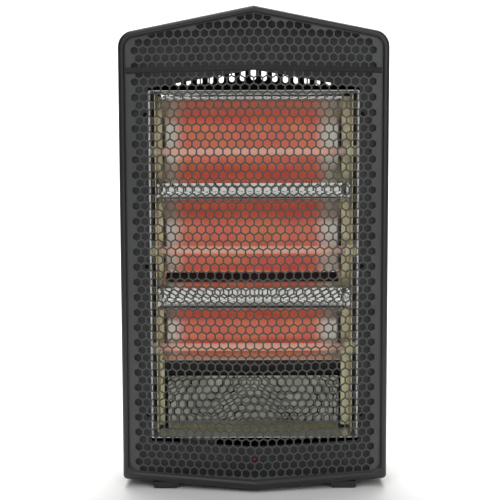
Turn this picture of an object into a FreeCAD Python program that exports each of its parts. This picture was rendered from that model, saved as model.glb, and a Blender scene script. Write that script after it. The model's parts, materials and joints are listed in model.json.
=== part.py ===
"""Free-standing quartz heater with a folded, pierced front grille.

Frame: +Z is up, X runs to the right seen from the front, the front faces -Y.
The origin lies on the floor, under the middle of the body. Units: millimetres.
"""
import FreeCAD, Part
import math
import os

V = FreeCAD.Vector

# ---------------------------------------------------------------- body outline
body_width = 334.0          # overall width of the front frame
body_height = 598.5         # floor to the peak of the gable
body_depth = 190.0          # front ridge to the end of the cord gland
gable_rise = 29.5           # peak above the top corners
chevron_drop = 6.0          # lower point below the bottom corners
chevron_clearance = 4.4     # floor to the lower point
prow_depth = 27.9           # the ridge stands this far in front of the side edges
top_corner_radius = 20.0
bottom_corner_radius = 5.0
peak_radius = 3.0

# ---------------------------------------------------------------- front frame
frame_face = 9.3            # visible face of the frame at the sides and top
frame_face_low = 12.4       # visible face along the bottom
frame_wall = 3.0            # thickness of that face
frame_depth = 14.0          # skirt, front to back
frame_skirt = 2.5           # skirt wall
opening_radius_top = 12.0
opening_radius_low = 11.5

bar_height = 6.7            # cross bar over the grille
bar_height_above_floor = 520.0
bar_peak = 1.5              # middle of the bar above its ends
bar_recess = 0.6            # bar set back from the frame's face

# ---------------------------------------------------------------- grille
hole_pitch = 11.0           # along a row, on the sheet
hole_flats = 9.1            # across the flats of a hole
holes_in_long_row = 28
grille_sheet = 1.0
first_row_above_bar = 2.2   # in rows, from the bar's top to the row that sets the pattern
grille_edge_land = 1.4      # solid metal left between a hole and the sheet's edge
sheet_gap = 0.3             # play between the frame and a sheet behind it

# ---------------------------------------------------------------- rear housing
housing_step = 0.6          # housing stands in from the frame all round
housing_wall = 2.2
waist_depth = 110.0         # from the ridge back to where the taper starts
rear_taper_side = 26.0
rear_taper_top = 22.0
rear_taper_low = 1.5
vent_width = 7.0
vent_pitch = 14.7
vent_count = 15
vent_length = 30.0
vent_low = 523.0            # low end of the middle slot
vent_slope = 0.085          # slots drop by this share of their distance from the middle
intake_count = 11
intake_length = 46.0
intake_low = 105.0

# ---------------------------------------------------------------- dark inner panel
panel_depth = 34.5          # ridge to the panel's front
panel_sheet = 1.2
window_half_width = 131.0
window_side_above_case = 2.5
window_peak_above_case = 25.0
window_corner_below_case = 4.0
window_peak_below_case = 12.0

# ---------------------------------------------------------------- reflector case
case_half_width = 129.0
case_sheet = 0.8
case_low = 62.3
case_top_below_corner = 69.2
case_front_depth = 36.3
case_depth = 60.0
case_flange = 9.0
case_screw_from_end = 30.0

reflector_left = -117.0
reflector_right = 112.0
reflector_sheet = 0.6
reflector_front_depth = 39.0
reflector_back_depth = 92.0
reflector_power = 3.6       # higher is a flatter back with tighter corners
trough_steps = 24           # flats that make up the curve
top_flange = 10.0
fascia_half_width = 122.5   # flat strips reach past the troughs, over the end plates
tube_below_case_top = 75.1
lowest_tube_above_case = 111.6
lip_below_tube = (0.319, 0.3732, 0.1053)    # shares of the distance between two tubes
fascia_height = (18.6, 25.0, 0.0)
air_slot_height = 9.5
air_slot_above_lip = 6.0
air_slot_end_margin = 3.0
air_slot_behind_lip = 8.0
base_panel_depth = 80.0
base_panel_top_gap = 28.5   # open gap under the lowest reflector's lip
base_panel_flange = 12.0
base_panel_gap_left = 4.0   # shorter than the troughs by this much
base_panel_gap_right = 2.0

# ---------------------------------------------------------------- heaters
tube_depth = 60.0
tube_outer = 10.0
tube_wall = 1.0
tube_left = -122.0
tube_right = 116.0
tube_in_cap = 8.0
coil_outer = 5.0
coil_inner = 3.4
cap_size = 14.0
cap_length = 20.0
cap_gap = 0.4
cap_chamfer = 1.2
bore_clearance = 0.15
end_plate_sheet = 1.0
end_plate_outer = 124.3     # outer leg, clear of the case wall
end_plate_front_depth = 47.0
end_plate_back_depth = 85.0
end_plate_inner_left = -117.8
end_plate_inner_right = 113.2
end_plate_margin = 4.0

# ---------------------------------------------------------------- inside the housing
shield_depth = 106.0
shield_sheet = 0.8
shield_margin = 6.0
shield_flange = 10.0
cutout_radius = 8.0
cutout_thickness = 6.0
cutout_tab_spacing = 6.0
cutout_tab_width = 2.4
cutout_tab_sheet = 0.8
cutout_tab_length = 6.0
base_plate_sheet = 1.6
base_plate_side_gap = 1.2    # clear of the housing where it tapers in
base_plate_front_depth = 52.0
base_plate_back_depth = 168.0
terminal_length = 46.0
terminal_width = 18.0
terminal_height = 15.0
terminal_left = -100.0
terminal_from_switch = 10.0
terminal_hole_radius = 2.4
terminal_hole_inset = 5.0
terminal_poles = 4
lead_diameter = 3.2
lead_past_cap = 5.0
lead_into_tube = 3.0
lead_above_plate = 6.0
lead_above_top_tube = 4.0
branch_diameter = 2.6

# ---------------------------------------------------------------- feet
foot_inner = 94.5
foot_outer = 128.0
foot_front_depth = 21.5
foot_back_depth = 168.0
foot_slant = 2.5
foot_corner_radius = 3.0
pad_radius = 8.0
pad_thickness = 2.4
pad_proud = 0.8
pad_end_margin = 16.0
foot_screw_radius = 2.0
foot_screw_head_radius = 4.0
foot_screw_head = 2.6
foot_screw_from_end = 34.0
foot_screw_past_plate = 4.0
foot_nut_thickness = 3.0
seat_gap = 0.05             # pieces that rest on the base plate

# ---------------------------------------------------------------- tip-over switch
plunger_radius = 4.0
plunger_running_gap = 0.06
plunger_collar = 1.5
plunger_travel = 5.0
plunger_stem_above = 12.0
plunger_open_gap = 1.5
plunger_chamfer = 1.0
plunger_guide_length = 4.0  # guide left over the stem at the top of its travel
plunger_stem_end = 2.0      # stem left over the guide's lower edge when it has dropped
collar_over_plate = 1.0     # collar left over the base plate when it has dropped
tip_switch_depth = 128.0
tip_case_play = 2.5         # collar to the inside of the switch's wall
tip_case_height = 34.0
tip_case_wall = 2.0
spring_play = 0.6           # stem to spring, and spring to the collar's rim
spring_wire = 1.3

# ---------------------------------------------------------------- rear controls
control_height = 400.0
control_width = 124.0
control_tall = 36.0
control_lip = 4.0
control_lip_thickness = 1.5
control_thickness = 4.0
control_corner_radius = 4.0
button_names = ("power_button", "mode_button", "timer_button", "cooler_button", "warmer_button")
button_pitch = 22.0
button_radius = 6.0
button_gap = 0.3
button_proud = 2.0
button_collar = 1.4
button_collar_extra = 1.6
button_travel = 1.2
button_stem = 3.0
button_stem_radius = 1.6
button_rim_radius = 0.8
board_thickness = 1.6
board_gap = 1.0
board_side_margin = 2.0
board_parts = ((-50.0, -30.0, 12.0, 16.0), (20.0, 36.0, 10.0, 12.0))    # left, right, deep, tall
fit_gap = 0.3

rocker_x = 62.0
rocker_height = 62.0
rocker_width = 14.0
rocker_tall = 24.0
rocker_body_depth = 22.0
rocker_body_wall = 2.4
rocker_swing = 14.0
rocker_radius = 13.4
rocker_pin_radius = 1.5
rocker_pin_play = 0.05
rocker_pin_depth = 0.55     # share of the drum's radius, from the wall in to the pin
rocker_inside = 5.5         # rocker in front of its pin
rocker_proud = 4.5
rocker_end_gap = 1.0
rocker_lip = 2.0            # width of the lip and its corner, and how far it stands out
rocker_lip_radius = 1.5
rocker_lip_proud = 1.5
rocker_floor = 3.0
rocker_tab_spacing = 8.0
rocker_tab_sheet = 0.8
rocker_tab_width = 6.0
rocker_tab_length = 8.0

gland_x = -62.0
gland_height = 62.0
gland_bore_radius = 3.6
gland_thread_radius = 8.0
gland_head_radius = 11.0
gland_proud = 10.0
gland_nut_thickness = 5.0
gland_inside = 14.0
gland_flange = 4.0
gland_end_wall = 2.2

handle_height = 462.0
handle_width = 112.0
handle_tall = 36.0
handle_pocket = 26.0
handle_wall = 2.0
handle_lip = 5.0
handle_lip_thickness = 1.5

lens_height = 33.0
lens_radius = 2.9
lens_proud = 1.6
lens_flange_radius = 4.6
lens_flange = 1.2
receiver_board_width = 24.0
receiver_board_tall = 16.0

housing_screw_radius = 1.9
housing_screw_head_radius = 3.8
housing_screw_head = 2.2
housing_screw_length = 12.0
housing_screw_side = 126.0
case_screw_radius = 1.4
case_screw_head_radius = 2.8
case_screw_head = 1.6
case_screw_length = 5.0

# ---------------------------------------------------------------- worked-out values
half_width = body_width / 2
ridge_y = -body_depth / 2
slope = prow_depth / half_width
gable_slope = gable_rise / half_width
chevron_slope = chevron_drop / half_width
top_corner_height = body_height - gable_rise
rear_y = body_depth / 2 - gland_proud
case_top = top_corner_height - case_top_below_corner
tube_pitch = (case_top - case_low - tube_below_case_top - lowest_tube_above_case) / 2
tube_heights = [case_top - tube_below_case_top - n * tube_pitch for n in range(3)]
lip_heights = [tube_heights[n] - lip_below_tube[n] * tube_pitch for n in range(3)]
tube_y = ridge_y + tube_depth
spring_inner = plunger_radius + spring_play
spring_outer = spring_inner + spring_wire
plunger_collar_radius = spring_outer + spring_play
tip_case_half = plunger_collar_radius + tip_case_play + tip_case_wall
skirt_back = frame_depth + sheet_gap
row_pitch = hole_pitch * math.sqrt(3) / 2
tiny = 0.01


def rounded_points_wire(points, radii, place):
    """Closed wire through 2-D points with rounded corners; place() lifts a 2-D point to 3-D."""
    count = len(points)
    entries = []
    for n in range(count):
        here = V(*points[n], 0)
        before = V(*points[n - 1], 0)
        after = V(*points[(n + 1) % count], 0)
        to_before = (before - here).normalize()
        to_after = (after - here).normalize()
        if radii[n] <= 0:
            entries.append((here, None, here))
            continue
        half_turn = to_before.getAngle(to_after) / 2
        cut = radii[n] / math.tan(half_turn)
        bisector = (to_before + to_after).normalize()
        centre = here + bisector * (radii[n] / math.sin(half_turn))
        middle = centre - bisector * radii[n]
        entries.append((here + to_before * cut, middle, here + to_after * cut))
    edges = []
    for n in range(count):
        start, middle, end = entries[n]
        if middle is not None:
            arc = Part.Arc(place(start.x, start.y), place(middle.x, middle.y), place(end.x, end.y))
            edges.append(arc.toShape())
        following = entries[(n + 1) % count][0]
        if (following - end).Length > tiny:
            edges.append(Part.makeLine(place(end.x, end.y), place(following.x, following.y)))
    return Part.Wire(edges)


def outline(side, top, low, y, radius_top, radius_low):
    """Body outline in the XZ plane at y, moved in from the frame's outer edge."""
    x = half_width - side
    top_shift = top * math.sqrt(1 + gable_slope ** 2)
    low_shift = low * math.sqrt(1 + chevron_slope ** 2)
    peak = body_height - top_shift
    corner = peak - gable_slope * x
    point = chevron_clearance + low_shift
    low_corner = point + chevron_slope * x
    points = [(0, peak), (x, corner), (x, low_corner), (0, point), (-x, low_corner), (-x, corner)]
    radii = [peak_radius, radius_top, radius_low, 0, radius_low, radius_top]
    return rounded_points_wire(points, radii, lambda a, b: V(a, y, b))


def outline_prism(side, top, low, y_from, y_to, radius_top, radius_low):
    wire = outline(side, top, low, y_from, radius_top, radius_low)
    return Part.Face(wire).extrude(V(0, y_to - y_from, 0))


def prow_slab(near, far):
    """Solid between two folded planes, near and far behind the ridge."""
    reach = half_width + 20
    points = [V(-reach, ridge_y + near + slope * reach, -20)]
    points.append(V(0, ridge_y + near, -20))
    points.append(V(reach, ridge_y + near + slope * reach, -20))
    points.append(V(reach, ridge_y + far + slope * reach, -20))
    points.append(V(0, ridge_y + far, -20))
    points.append(V(-reach, ridge_y + far + slope * reach, -20))
    return Part.Face(Part.makePolygon(points + points[:1])).extrude(V(0, 0, body_height + 40))


def box(x0, x1, y0, y1, z0, z1):
    return Part.makeBox(x1 - x0, y1 - y0, z1 - z0, V(x0, y0, z0))


def rod(radius, start, end):
    axis = end - start
    return Part.makeCylinder(radius, axis.Length, start, axis)


def rounded_block(x0, x1, y0, y1, z0, z1, radius):
    """Block with its four edges along Y rounded."""
    points = [(x0, z0), (x1, z0), (x1, z1), (x0, z1)]
    wire = rounded_points_wire(points, [radius] * 4, lambda a, b: V(a, y0, b))
    return Part.Face(wire).extrude(V(0, y1 - y0, 0))


def bent_sheet(line, thickness, x0, x1):
    """Sheet of even thickness that follows a line in the YZ plane, extruded along X."""
    left = []
    right = []
    for n, (y, z) in enumerate(line):
        before = V(0, *line[max(n - 1, 0)])
        after = V(0, *line[min(n + 1, len(line) - 1)])
        here = V(0, y, z)
        directions = [d.normalize() for d in (here - before, after - here) if d.Length > tiny]
        along = (directions[0] + directions[-1]).normalize()
        normal = V(0, -along.z, along.y)
        spread = thickness / 2 / math.cos(directions[0].getAngle(directions[-1]) / 2)
        left.append(V(x0, y, z) + normal * spread)
        right.append(V(x0, y, z) - normal * spread)
    ring = left + right[::-1]
    return Part.Face(Part.makePolygon(ring + ring[:1])).extrude(V(x1 - x0, 0, 0))


def write(name, shape):
    solids = shape.Solids
    result = solids[0] if len(solids) == 1 else Part.makeCompound(solids)
    if not solids or not all(solid.isClosed() and solid.Volume > 0 for solid in solids):
        raise RuntimeError(name + " is not a closed solid")
    result.exportStep("parts/" + name + ".step")


# ---------------------------------------------------------------- front pieces
def front_frame():
    ring = outline_prism(0, 0, 0, ridge_y - 5, ridge_y + 90, top_corner_radius, bottom_corner_radius)
    ring = ring.common(prow_slab(0, frame_depth))
    ring = ring.cut(outline_prism(frame_face, frame_face, frame_face_low, ridge_y - 5, ridge_y + 90,
                                  opening_radius_top, opening_radius_low))
    pocket = outline_prism(frame_skirt, frame_skirt, frame_skirt, ridge_y - 5, ridge_y + 90,
                           top_corner_radius - frame_skirt, bottom_corner_radius - frame_skirt)
    return ring.cut(pocket.common(prow_slab(frame_wall, frame_depth + 5)))


def cross_bar():
    x = half_width - frame_face - tiny
    low = bar_height_above_floor
    top = low + bar_height
    points = [(-x, low), (0, low + bar_peak), (x, low), (x, top), (0, top + bar_peak), (-x, top)]
    wire = rounded_points_wire(points, [0] * 6, lambda a, b: V(a, ridge_y - 5, b))
    prism = Part.Face(wire).extrude(V(0, 80, 0))
    return prism.common(prow_slab(bar_recess, frame_wall + sheet_gap - 0.05))


def hole_points(centre, height):
    """Corners of a hexagonal hole with points up, on the right half of the folded sheet."""
    flat = hole_flats / 2
    tip = hole_flats / math.sqrt(3)
    corners = [(0, tip), (flat, tip / 2), (flat, -tip / 2), (0, -tip), (-flat, -tip / 2), (-flat, tip / 2)]
    return [(centre + a, height + b) for a, b in corners]


def grille_half(side):
    """One flat half of the grille: a face with its holes, pushed back by the sheet's thickness."""
    inset = frame_skirt + sheet_gap
    lean = math.cos(math.atan(slope))
    front = ridge_y + frame_wall + sheet_gap

    def place(along, z):
        x = along * lean
        return V(side * x, front + slope * x, z)

    x_edge = half_width - inset
    top_shift = inset * math.sqrt(1 + gable_slope ** 2)
    low_inset = inset + 2.0
    peak = body_height - top_shift
    point = chevron_clearance + low_inset
    corner_radius = top_corner_radius - inset

    def top_limit(x):
        if x <= x_edge - corner_radius:
            return peak - gable_slope * x
        return peak - gable_slope * x - corner_radius + math.sqrt(
            max(corner_radius ** 2 - (x - x_edge + corner_radius) ** 2, 0))

    holes = []
    notches = []
    rows = int((peak - point) / row_pitch)
    middle_row = round((bar_height_above_floor - point) / row_pitch)
    first = bar_height_above_floor + bar_height + first_row_above_bar * row_pitch - middle_row * row_pitch
    for row in range(-2, rows + 2):
        z = first + row * row_pitch
        offset = hole_pitch / 2 if (row - middle_row) % 2 == 0 else 0.0
        for n in range(holes_in_long_row // 2):
            along = offset + n * hole_pitch
            corners = hole_points(along, z)
            inside = all(
                b < top_limit(abs(a) * lean) - grille_edge_land
                and b > point + chevron_slope * abs(a) * lean + grille_edge_land
                and abs(a) * lean < x_edge - grille_edge_land for a, b in corners)
            if not inside:
                continue
            if along == 0:
                notches.append(corners[:4])
            else:
                holes.append(corners)
    edge_points = [(0, point)]
    for corners in sorted(notches, key=lambda c: c[0][1]):
        edge_points += corners[::-1]
    edge_points.append((0, peak))
    lift_corner = peak - gable_slope * (x_edge - corner_radius)
    edge_points.append(((x_edge - corner_radius) / lean, lift_corner))
    edge_points.append((x_edge / lean, lift_corner - corner_radius))
    edge_points.append((x_edge / lean, point + chevron_slope * x_edge))
    rim = [place(a, b) for a, b in edge_points]
    wires = [Part.makePolygon(rim + rim[:1])]
    for corners in holes:
        ring = [place(a, b) for a, b in corners[::-1]]
        wires.append(Part.makePolygon(ring + ring[:1]))
    return Part.Face(wires).extrude(V(0, grille_sheet / lean, 0))


def front_grille():
    return grille_half(1).fuse(grille_half(-1))


# ---------------------------------------------------------------- rear housing and panel
def housing_solid(inset, rear):
    """Filled rear housing, moved in by inset: straight to the waist, then tapered to rear."""
    side = housing_step + inset
    waist = ridge_y + waist_depth
    radius_top = top_corner_radius - side
    radius_low = max(bottom_corner_radius - side, 1.5)
    front = outline_prism(side, side, side, ridge_y - 5, waist, radius_top, radius_low)
    rings = [outline(side, side, side, waist, radius_top, radius_low)]
    rings.append(outline(side + rear_taper_side, side + rear_taper_top, side + rear_taper_low,
                         rear, radius_top, radius_low))
    return front.fuse(Part.makeLoft(rings, True, True)).removeSplitter()


def slot(x, z_low, z_high, width, y0, y1):
    block = box(x - width / 2, x + width / 2, y0, y1, z_low + width / 2, z_high - width / 2)
    for z in (z_low + width / 2, z_high - width / 2):
        block = block.fuse(rod(width / 2, V(x, y0, z), V(x, y1, z)))
    return block


def rear_slots():
    """Outlet slots under the gable and intake slots low down."""
    cuts = []
    y0 = rear_y - housing_wall - 5
    y1 = rear_y + 5
    for n in range(vent_count):
        x = (n - (vent_count - 1) / 2) * vent_pitch
        low = vent_low - vent_slope * abs(x)
        cuts.append(slot(x, low, low + vent_length, vent_width, y0, y1))
    for n in range(intake_count):
        x = (n - (intake_count - 1) / 2) * vent_pitch
        cuts.append(slot(x, intake_low, intake_low + intake_length, vent_width, y0, y1))
    return cuts


def housing_screw_places():
    span = (intake_low + intake_length / 2, (control_height + case_low) / 2, handle_height)
    return [(side * (housing_screw_side - rear_taper_side / 3), z) for side in (-1, 1) for z in span]


def rear_housing():
    shell = housing_solid(0, rear_y).cut(housing_solid(housing_wall, rear_y - housing_wall))
    shell = shell.cut(prow_slab(-half_width, skirt_back))
    wall = (rear_y - housing_wall - 5, rear_y + 5)
    cuts = rear_slots()
    hole_x = control_width / 2 - control_lip
    hole_z = control_tall / 2 - control_lip
    cuts.append(box(-hole_x, hole_x, *wall, control_height - hole_z, control_height + hole_z))
    hole_x = handle_width / 2 + handle_wall + fit_gap
    hole_z = handle_tall / 2 + handle_wall + fit_gap
    cuts.append(box(-hole_x, hole_x, *wall, handle_height - hole_z, handle_height + hole_z))
    hole_x = rocker_width / 2 + rocker_body_wall + fit_gap
    hole_z = rocker_tall / 2 + rocker_body_wall + fit_gap
    cuts.append(box(rocker_x - hole_x, rocker_x + hole_x, *wall,
                    rocker_height - hole_z, rocker_height + hole_z))
    cuts.append(rod(gland_thread_radius + fit_gap, V(gland_x, wall[0], gland_height),
                    V(gland_x, wall[1], gland_height)))
    for x, z in housing_screw_places():
        cuts.append(rod(housing_screw_radius + fit_gap, V(x, wall[0], z), V(x, wall[1], z)))
    for x, y in foot_screw_places():
        cuts.append(rod(foot_screw_radius + fit_gap, V(x, y, -5), V(x, y, 20)))
    tip_y = ridge_y + tip_switch_depth
    cuts.append(rod(plunger_radius + plunger_open_gap, V(0, tip_y, -5), V(0, tip_y, 20)))
    return shell.cut(Part.makeCompound(cuts))


def window_prism(y0, y1):
    """Opening of the dark panel: gabled over the case, a shallow chevron under it."""
    x = window_half_width
    points = [(0, case_top + window_peak_above_case), (x, case_top + window_side_above_case)]
    points += [(x, case_low - window_corner_below_case), (0, case_low - window_peak_below_case)]
    points += [(-x, case_low - window_corner_below_case), (-x, case_top + window_side_above_case)]
    wire = rounded_points_wire(points, [0] * 6, lambda a, b: V(a, y0, b))
    return Part.Face(wire).extrude(V(0, y1 - y0, 0))


def case_screw_places():
    x = case_half_width + case_sheet + case_flange / 2
    heights = (case_low + case_screw_from_end, (case_low + case_top) / 2, case_top - case_screw_from_end)
    return [(side * x, z) for side in (-1, 1) for z in heights]


def inner_panel():
    y0 = ridge_y + panel_depth
    inset = housing_step + housing_wall + fit_gap
    radius_low = max(bottom_corner_radius - inset, 1.0)
    plate = outline_prism(inset, inset, inset, y0, y0 + panel_sheet, top_corner_radius - inset, radius_low)
    cuts = [window_prism(y0 - 5, y0 + 5)]
    cuts.append(rod(lens_radius + fit_gap, V(0, y0 - 5, lens_height), V(0, y0 + 5, lens_height)))
    for x, z in case_screw_places():
        cuts.append(rod(case_screw_radius + bore_clearance, V(x, y0 - 5, z), V(x, y0 + 5, z)))
    return plate.cut(Part.makeCompound(cuts))


# ---------------------------------------------------------------- reflectors
def reflector_case():
    """Open sleeve round the reflectors, with a flange down each side and holes for the caps."""
    y0 = ridge_y + case_front_depth
    y1 = y0 + case_depth
    x = case_half_width
    sleeve = box(-x - case_sheet, x + case_sheet, y0, y1, case_low - case_sheet, case_top)
    sleeve = sleeve.cut(box(-x, x, y0 - 5, y1 + 5, case_low, case_top - case_sheet))
    reach = x + case_sheet + case_flange
    for x0, x1 in ((-reach, -x), (x, reach)):
        sleeve = sleeve.fuse(box(x0, x1, y0, y0 + case_sheet, case_low, case_top - case_sheet))
    cuts = cap_openings()
    for a, z in case_screw_places():
        cuts.append(rod(case_screw_radius + bore_clearance, V(a, y0 - 5, z), V(a, y0 + 5, z)))
    return sleeve.cut(Part.makeCompound(cuts)).removeSplitter()


def cap_openings():
    """Square holes through both side walls, one for each ceramic cap."""
    half = cap_size / 2 + cap_gap
    reach = case_half_width + 12
    cuts = []
    for z in tube_heights:
        cuts.append(box(-reach, -case_half_width + 6, tube_y - half, tube_y + half, z - half, z + half))
        cuts.append(box(case_half_width - 6, reach, tube_y - half, tube_y + half, z - half, z + half))
    return cuts


def reflector(index):
    """Trough with a flat back and curled edges, then its flat fascia strip."""
    high = case_top - top_flange if index == 0 else lip_heights[index - 1] - fascia_height[index - 1]
    high -= fit_gap
    low = lip_heights[index]
    middle = (high + low) / 2
    half = (high - low) / 2
    front = ridge_y + reflector_front_depth
    deep = reflector_back_depth - reflector_front_depth
    line = []
    strips = []
    for n in range(trough_steps + 1):
        u = math.sin(math.pi * (n / trough_steps - 0.5))
        line.append((front + deep * (1 - abs(u) ** reflector_power), middle - half * u))
    if fascia_height[index] > 0:
        line.append((front, low - fascia_height[index]))
        strips.append(line[-2:])
    if index == 0:
        line.insert(0, (front, case_top - case_sheet - fit_gap))
        strips.append(line[:2])
    sheet = bent_sheet(line, reflector_sheet, reflector_left, reflector_right)
    for strip in strips:
        sheet = sheet.fuse(bent_sheet(strip, reflector_sheet, -fascia_half_width, fascia_half_width))
    sheet = sheet.removeSplitter()
    if index == 1:
        z0 = low + air_slot_above_lip
        sheet = sheet.cut(box(reflector_left + air_slot_end_margin, reflector_right - air_slot_end_margin,
                              front + air_slot_behind_lip, front + deep + 5, z0, z0 + air_slot_height))
    return sheet


def base_reflector():
    """Upright mirror at the foot of the case, with a flange along its top and its bottom."""
    y = ridge_y + base_panel_depth
    low = case_low + reflector_sheet
    top = lip_heights[2] - base_panel_top_gap
    line = [(y + base_panel_flange, low), (y, low), (y, top), (y + base_panel_flange, top)]
    return bent_sheet(line, reflector_sheet, reflector_left + base_panel_gap_left,
                      reflector_right - base_panel_gap_right)


# ---------------------------------------------------------------- heaters
def quartz_tube(z):
    start = V(tube_left - tube_in_cap, tube_y, z)
    end = V(tube_right + tube_in_cap, tube_y, z)
    outside = rod(tube_outer / 2, start, end)
    return outside.cut(rod(tube_outer / 2 - tube_wall, start - V(1, 0, 0), end + V(1, 0, 0)))


def heating_coil(z):
    start = V(tube_left - tube_in_cap, tube_y, z)
    end = V(tube_right + tube_in_cap, tube_y, z)
    outside = rod(coil_outer / 2, start, end)
    return outside.cut(rod(coil_inner / 2, start - V(1, 0, 0), end + V(1, 0, 0)))


def ceramic_cap(side, z):
    """Square block that the tube's end sits in, with a small hole for the lead."""
    mouth = tube_left if side < 0 else tube_right
    x0, x1 = sorted((mouth, mouth + side * cap_length))
    half = cap_size / 2
    block = box(x0, x1, tube_y - half, tube_y + half, z - half, z + half)
    block = block.makeChamfer(cap_chamfer, block.Edges)
    seat = mouth + side * (tube_in_cap + bore_clearance)
    block = block.cut(rod(tube_outer / 2 + bore_clearance, V(mouth - side, tube_y, z), V(seat, tube_y, z)))
    return block.cut(rod(lead_diameter / 2 + bore_clearance, V(seat - side, tube_y, z),
                         V(mouth + side * (cap_length + 1), tube_y, z)))


def end_plate(side):
    """Angle that carries the caps: one leg beside the case wall, one leg facing forward."""
    wall = end_plate_outer
    inner = -end_plate_inner_left if side < 0 else end_plate_inner_right
    y0 = ridge_y + end_plate_front_depth
    y1 = ridge_y + end_plate_back_depth
    z0 = case_low + end_plate_margin
    z1 = case_top - case_sheet - end_plate_margin
    leg = box(wall - end_plate_sheet, wall, y0, y1, z0, z1)
    face = box(inner, wall, y1 - end_plate_sheet, y1, z0, z1)
    angle = leg.fuse(face).removeSplitter()
    if side < 0:
        angle = angle.mirror(V(0, 0, 0), V(1, 0, 0))
    half = cap_size / 2 + cap_gap
    cuts = []
    for z in tube_heights:
        x0, x1 = sorted((side * (wall - 5), side * (wall + 5)))
        cuts.append(box(x0, x1, tube_y - half, tube_y + half, z - half, z + half))
    return angle.cut(Part.makeCompound(cuts))


# ---------------------------------------------------------------- inside
def heat_shield():
    y = ridge_y + shield_depth
    low = case_low - shield_margin
    top = case_top + shield_margin - 2
    line = [(y - shield_flange, low), (y, low), (y, top)]
    return bent_sheet(line, shield_sheet, -case_half_width - 4, case_half_width + 4)


def thermal_cutout():
    y = ridge_y + shield_depth + shield_sheet / 2
    z = tube_heights[0]
    disc = rod(cutout_radius, V(0, y, z), V(0, y + cutout_thickness, z))
    half_width_of_tab = cutout_tab_width / 2
    half_sheet = cutout_tab_sheet / 2
    for x in (-cutout_tab_spacing / 2, cutout_tab_spacing / 2):
        disc = disc.fuse(box(x - half_width_of_tab, x + half_width_of_tab, y + cutout_thickness,
                             y + cutout_thickness + cutout_tab_length, z - half_sheet, z + half_sheet))
    return disc


def base_plate_half_width():
    """The plate's rear corners just clear the housing's tapered sides."""
    taper_length = rear_y - ridge_y - waist_depth
    taper = rear_taper_side * (base_plate_back_depth - waist_depth) / (taper_length - housing_wall)
    return half_width - housing_step - housing_wall - taper - base_plate_side_gap


def base_plate_top():
    """The plate's lower corners just clear the housing's rising floor."""
    inset = housing_step + housing_wall + rear_taper_low + fit_gap
    return chevron_clearance + chevron_slope * base_plate_half_width() + inset + base_plate_sheet


def base_plate():
    x = base_plate_half_width()
    z0 = base_plate_top() - base_plate_sheet
    plate = box(-x, x, ridge_y + base_plate_front_depth, ridge_y + base_plate_back_depth,
                z0, z0 + base_plate_sheet)
    tip_y = ridge_y + tip_switch_depth
    cuts = [rod(plunger_collar_radius + plunger_open_gap, V(0, tip_y, 0), V(0, tip_y, 30))]
    for x, y in foot_screw_places():
        cuts.append(rod(foot_screw_radius + bore_clearance, V(x, y, 0), V(x, y, 30)))
    return plate.cut(Part.makeCompound(cuts))


def terminal_block():
    """Block with a screw well at each side of every pole."""
    z0 = base_plate_top() + 0.1
    y0 = ridge_y + tip_switch_depth + terminal_from_switch
    y1 = y0 + terminal_width
    block = box(terminal_left, terminal_left + terminal_length, y0, y1, z0, z0 + terminal_height)
    cuts = []
    for n in range(terminal_poles):
        x = terminal_left + terminal_length * (n + 0.5) / terminal_poles
        for y in (y0 + terminal_hole_inset, y1 - terminal_hole_inset):
            cuts.append(rod(terminal_hole_radius, V(x, y, z0 + 5), V(x, y, z0 + 30)))
    return block.cut(Part.makeCompound(cuts))


def side_leads(side):
    """Insulated lead that runs up outside the case, with a branch into each cap."""
    mouth = tube_left if side < 0 else tube_right
    x = mouth + side * (cap_length + lead_past_cap)
    end = mouth + side * (tube_in_cap + lead_into_tube)
    leads = rod(lead_diameter / 2, V(x, tube_y, base_plate_top() + lead_above_plate),
                V(x, tube_y, tube_heights[0] + lead_above_top_tube))
    for z in tube_heights:
        leads = leads.fuse(rod(branch_diameter / 2, V(x, tube_y, z), V(end, tube_y, z)))
    return leads


# ---------------------------------------------------------------- feet
def foot_ends():
    return ridge_y + foot_front_depth, ridge_y + foot_back_depth


def foot_screw_places():
    y0, y1 = foot_ends()
    x = (foot_inner + foot_outer) / 2
    return [(side * x, y) for side in (-1, 1) for y in (y0 + foot_screw_from_end, y1 - foot_screw_from_end)]


def foot(side):
    y0, y1 = foot_ends()
    high = 20.0
    points = [(foot_inner + foot_slant, pad_proud), (foot_outer, pad_proud)]
    points += [(foot_outer, high), (foot_inner, high)]
    radii = [foot_corner_radius, foot_corner_radius, 0, 0]
    wire = rounded_points_wire(points, radii, lambda a, b: V(a, y0, b))
    block = Part.Face(wire).extrude(V(0, y1 - y0, 0))
    if side < 0:
        block = block.mirror(V(0, 0, 0), V(1, 0, 0))
    frame_prism = outline_prism(0, 0, 0, ridge_y - 5, ridge_y + 80, top_corner_radius, bottom_corner_radius)
    block = block.cut(frame_prism.common(prow_slab(-half_width, skirt_back)))
    block = block.cut(housing_solid(0, rear_y))
    cuts = []
    for x, y in pad_places():
        cuts.append(rod(pad_radius, V(x, y, 0), V(x, y, pad_thickness)))
    for x, y in foot_screw_places():
        cuts.append(rod(foot_screw_radius + bore_clearance, V(x, y, 0), V(x, y, 30)))
        cuts.append(rod(foot_screw_head_radius + fit_gap, V(x, y, 0), V(x, y, foot_screw_seat())))
    return block.cut(Part.makeCompound(cuts))


def foot_screw_seat():
    return pad_proud + foot_screw_head + fit_gap


def pad_places():
    y0, y1 = foot_ends()
    x = (foot_inner + foot_slant + foot_outer) / 2
    return [(side * x, y) for side in (-1, 1) for y in (y0 + pad_end_margin, y1 - pad_end_margin)]


def foot_pads():
    return Part.makeCompound([rod(pad_radius, V(x, y, 0), V(x, y, pad_thickness)) for x, y in pad_places()])


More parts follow.
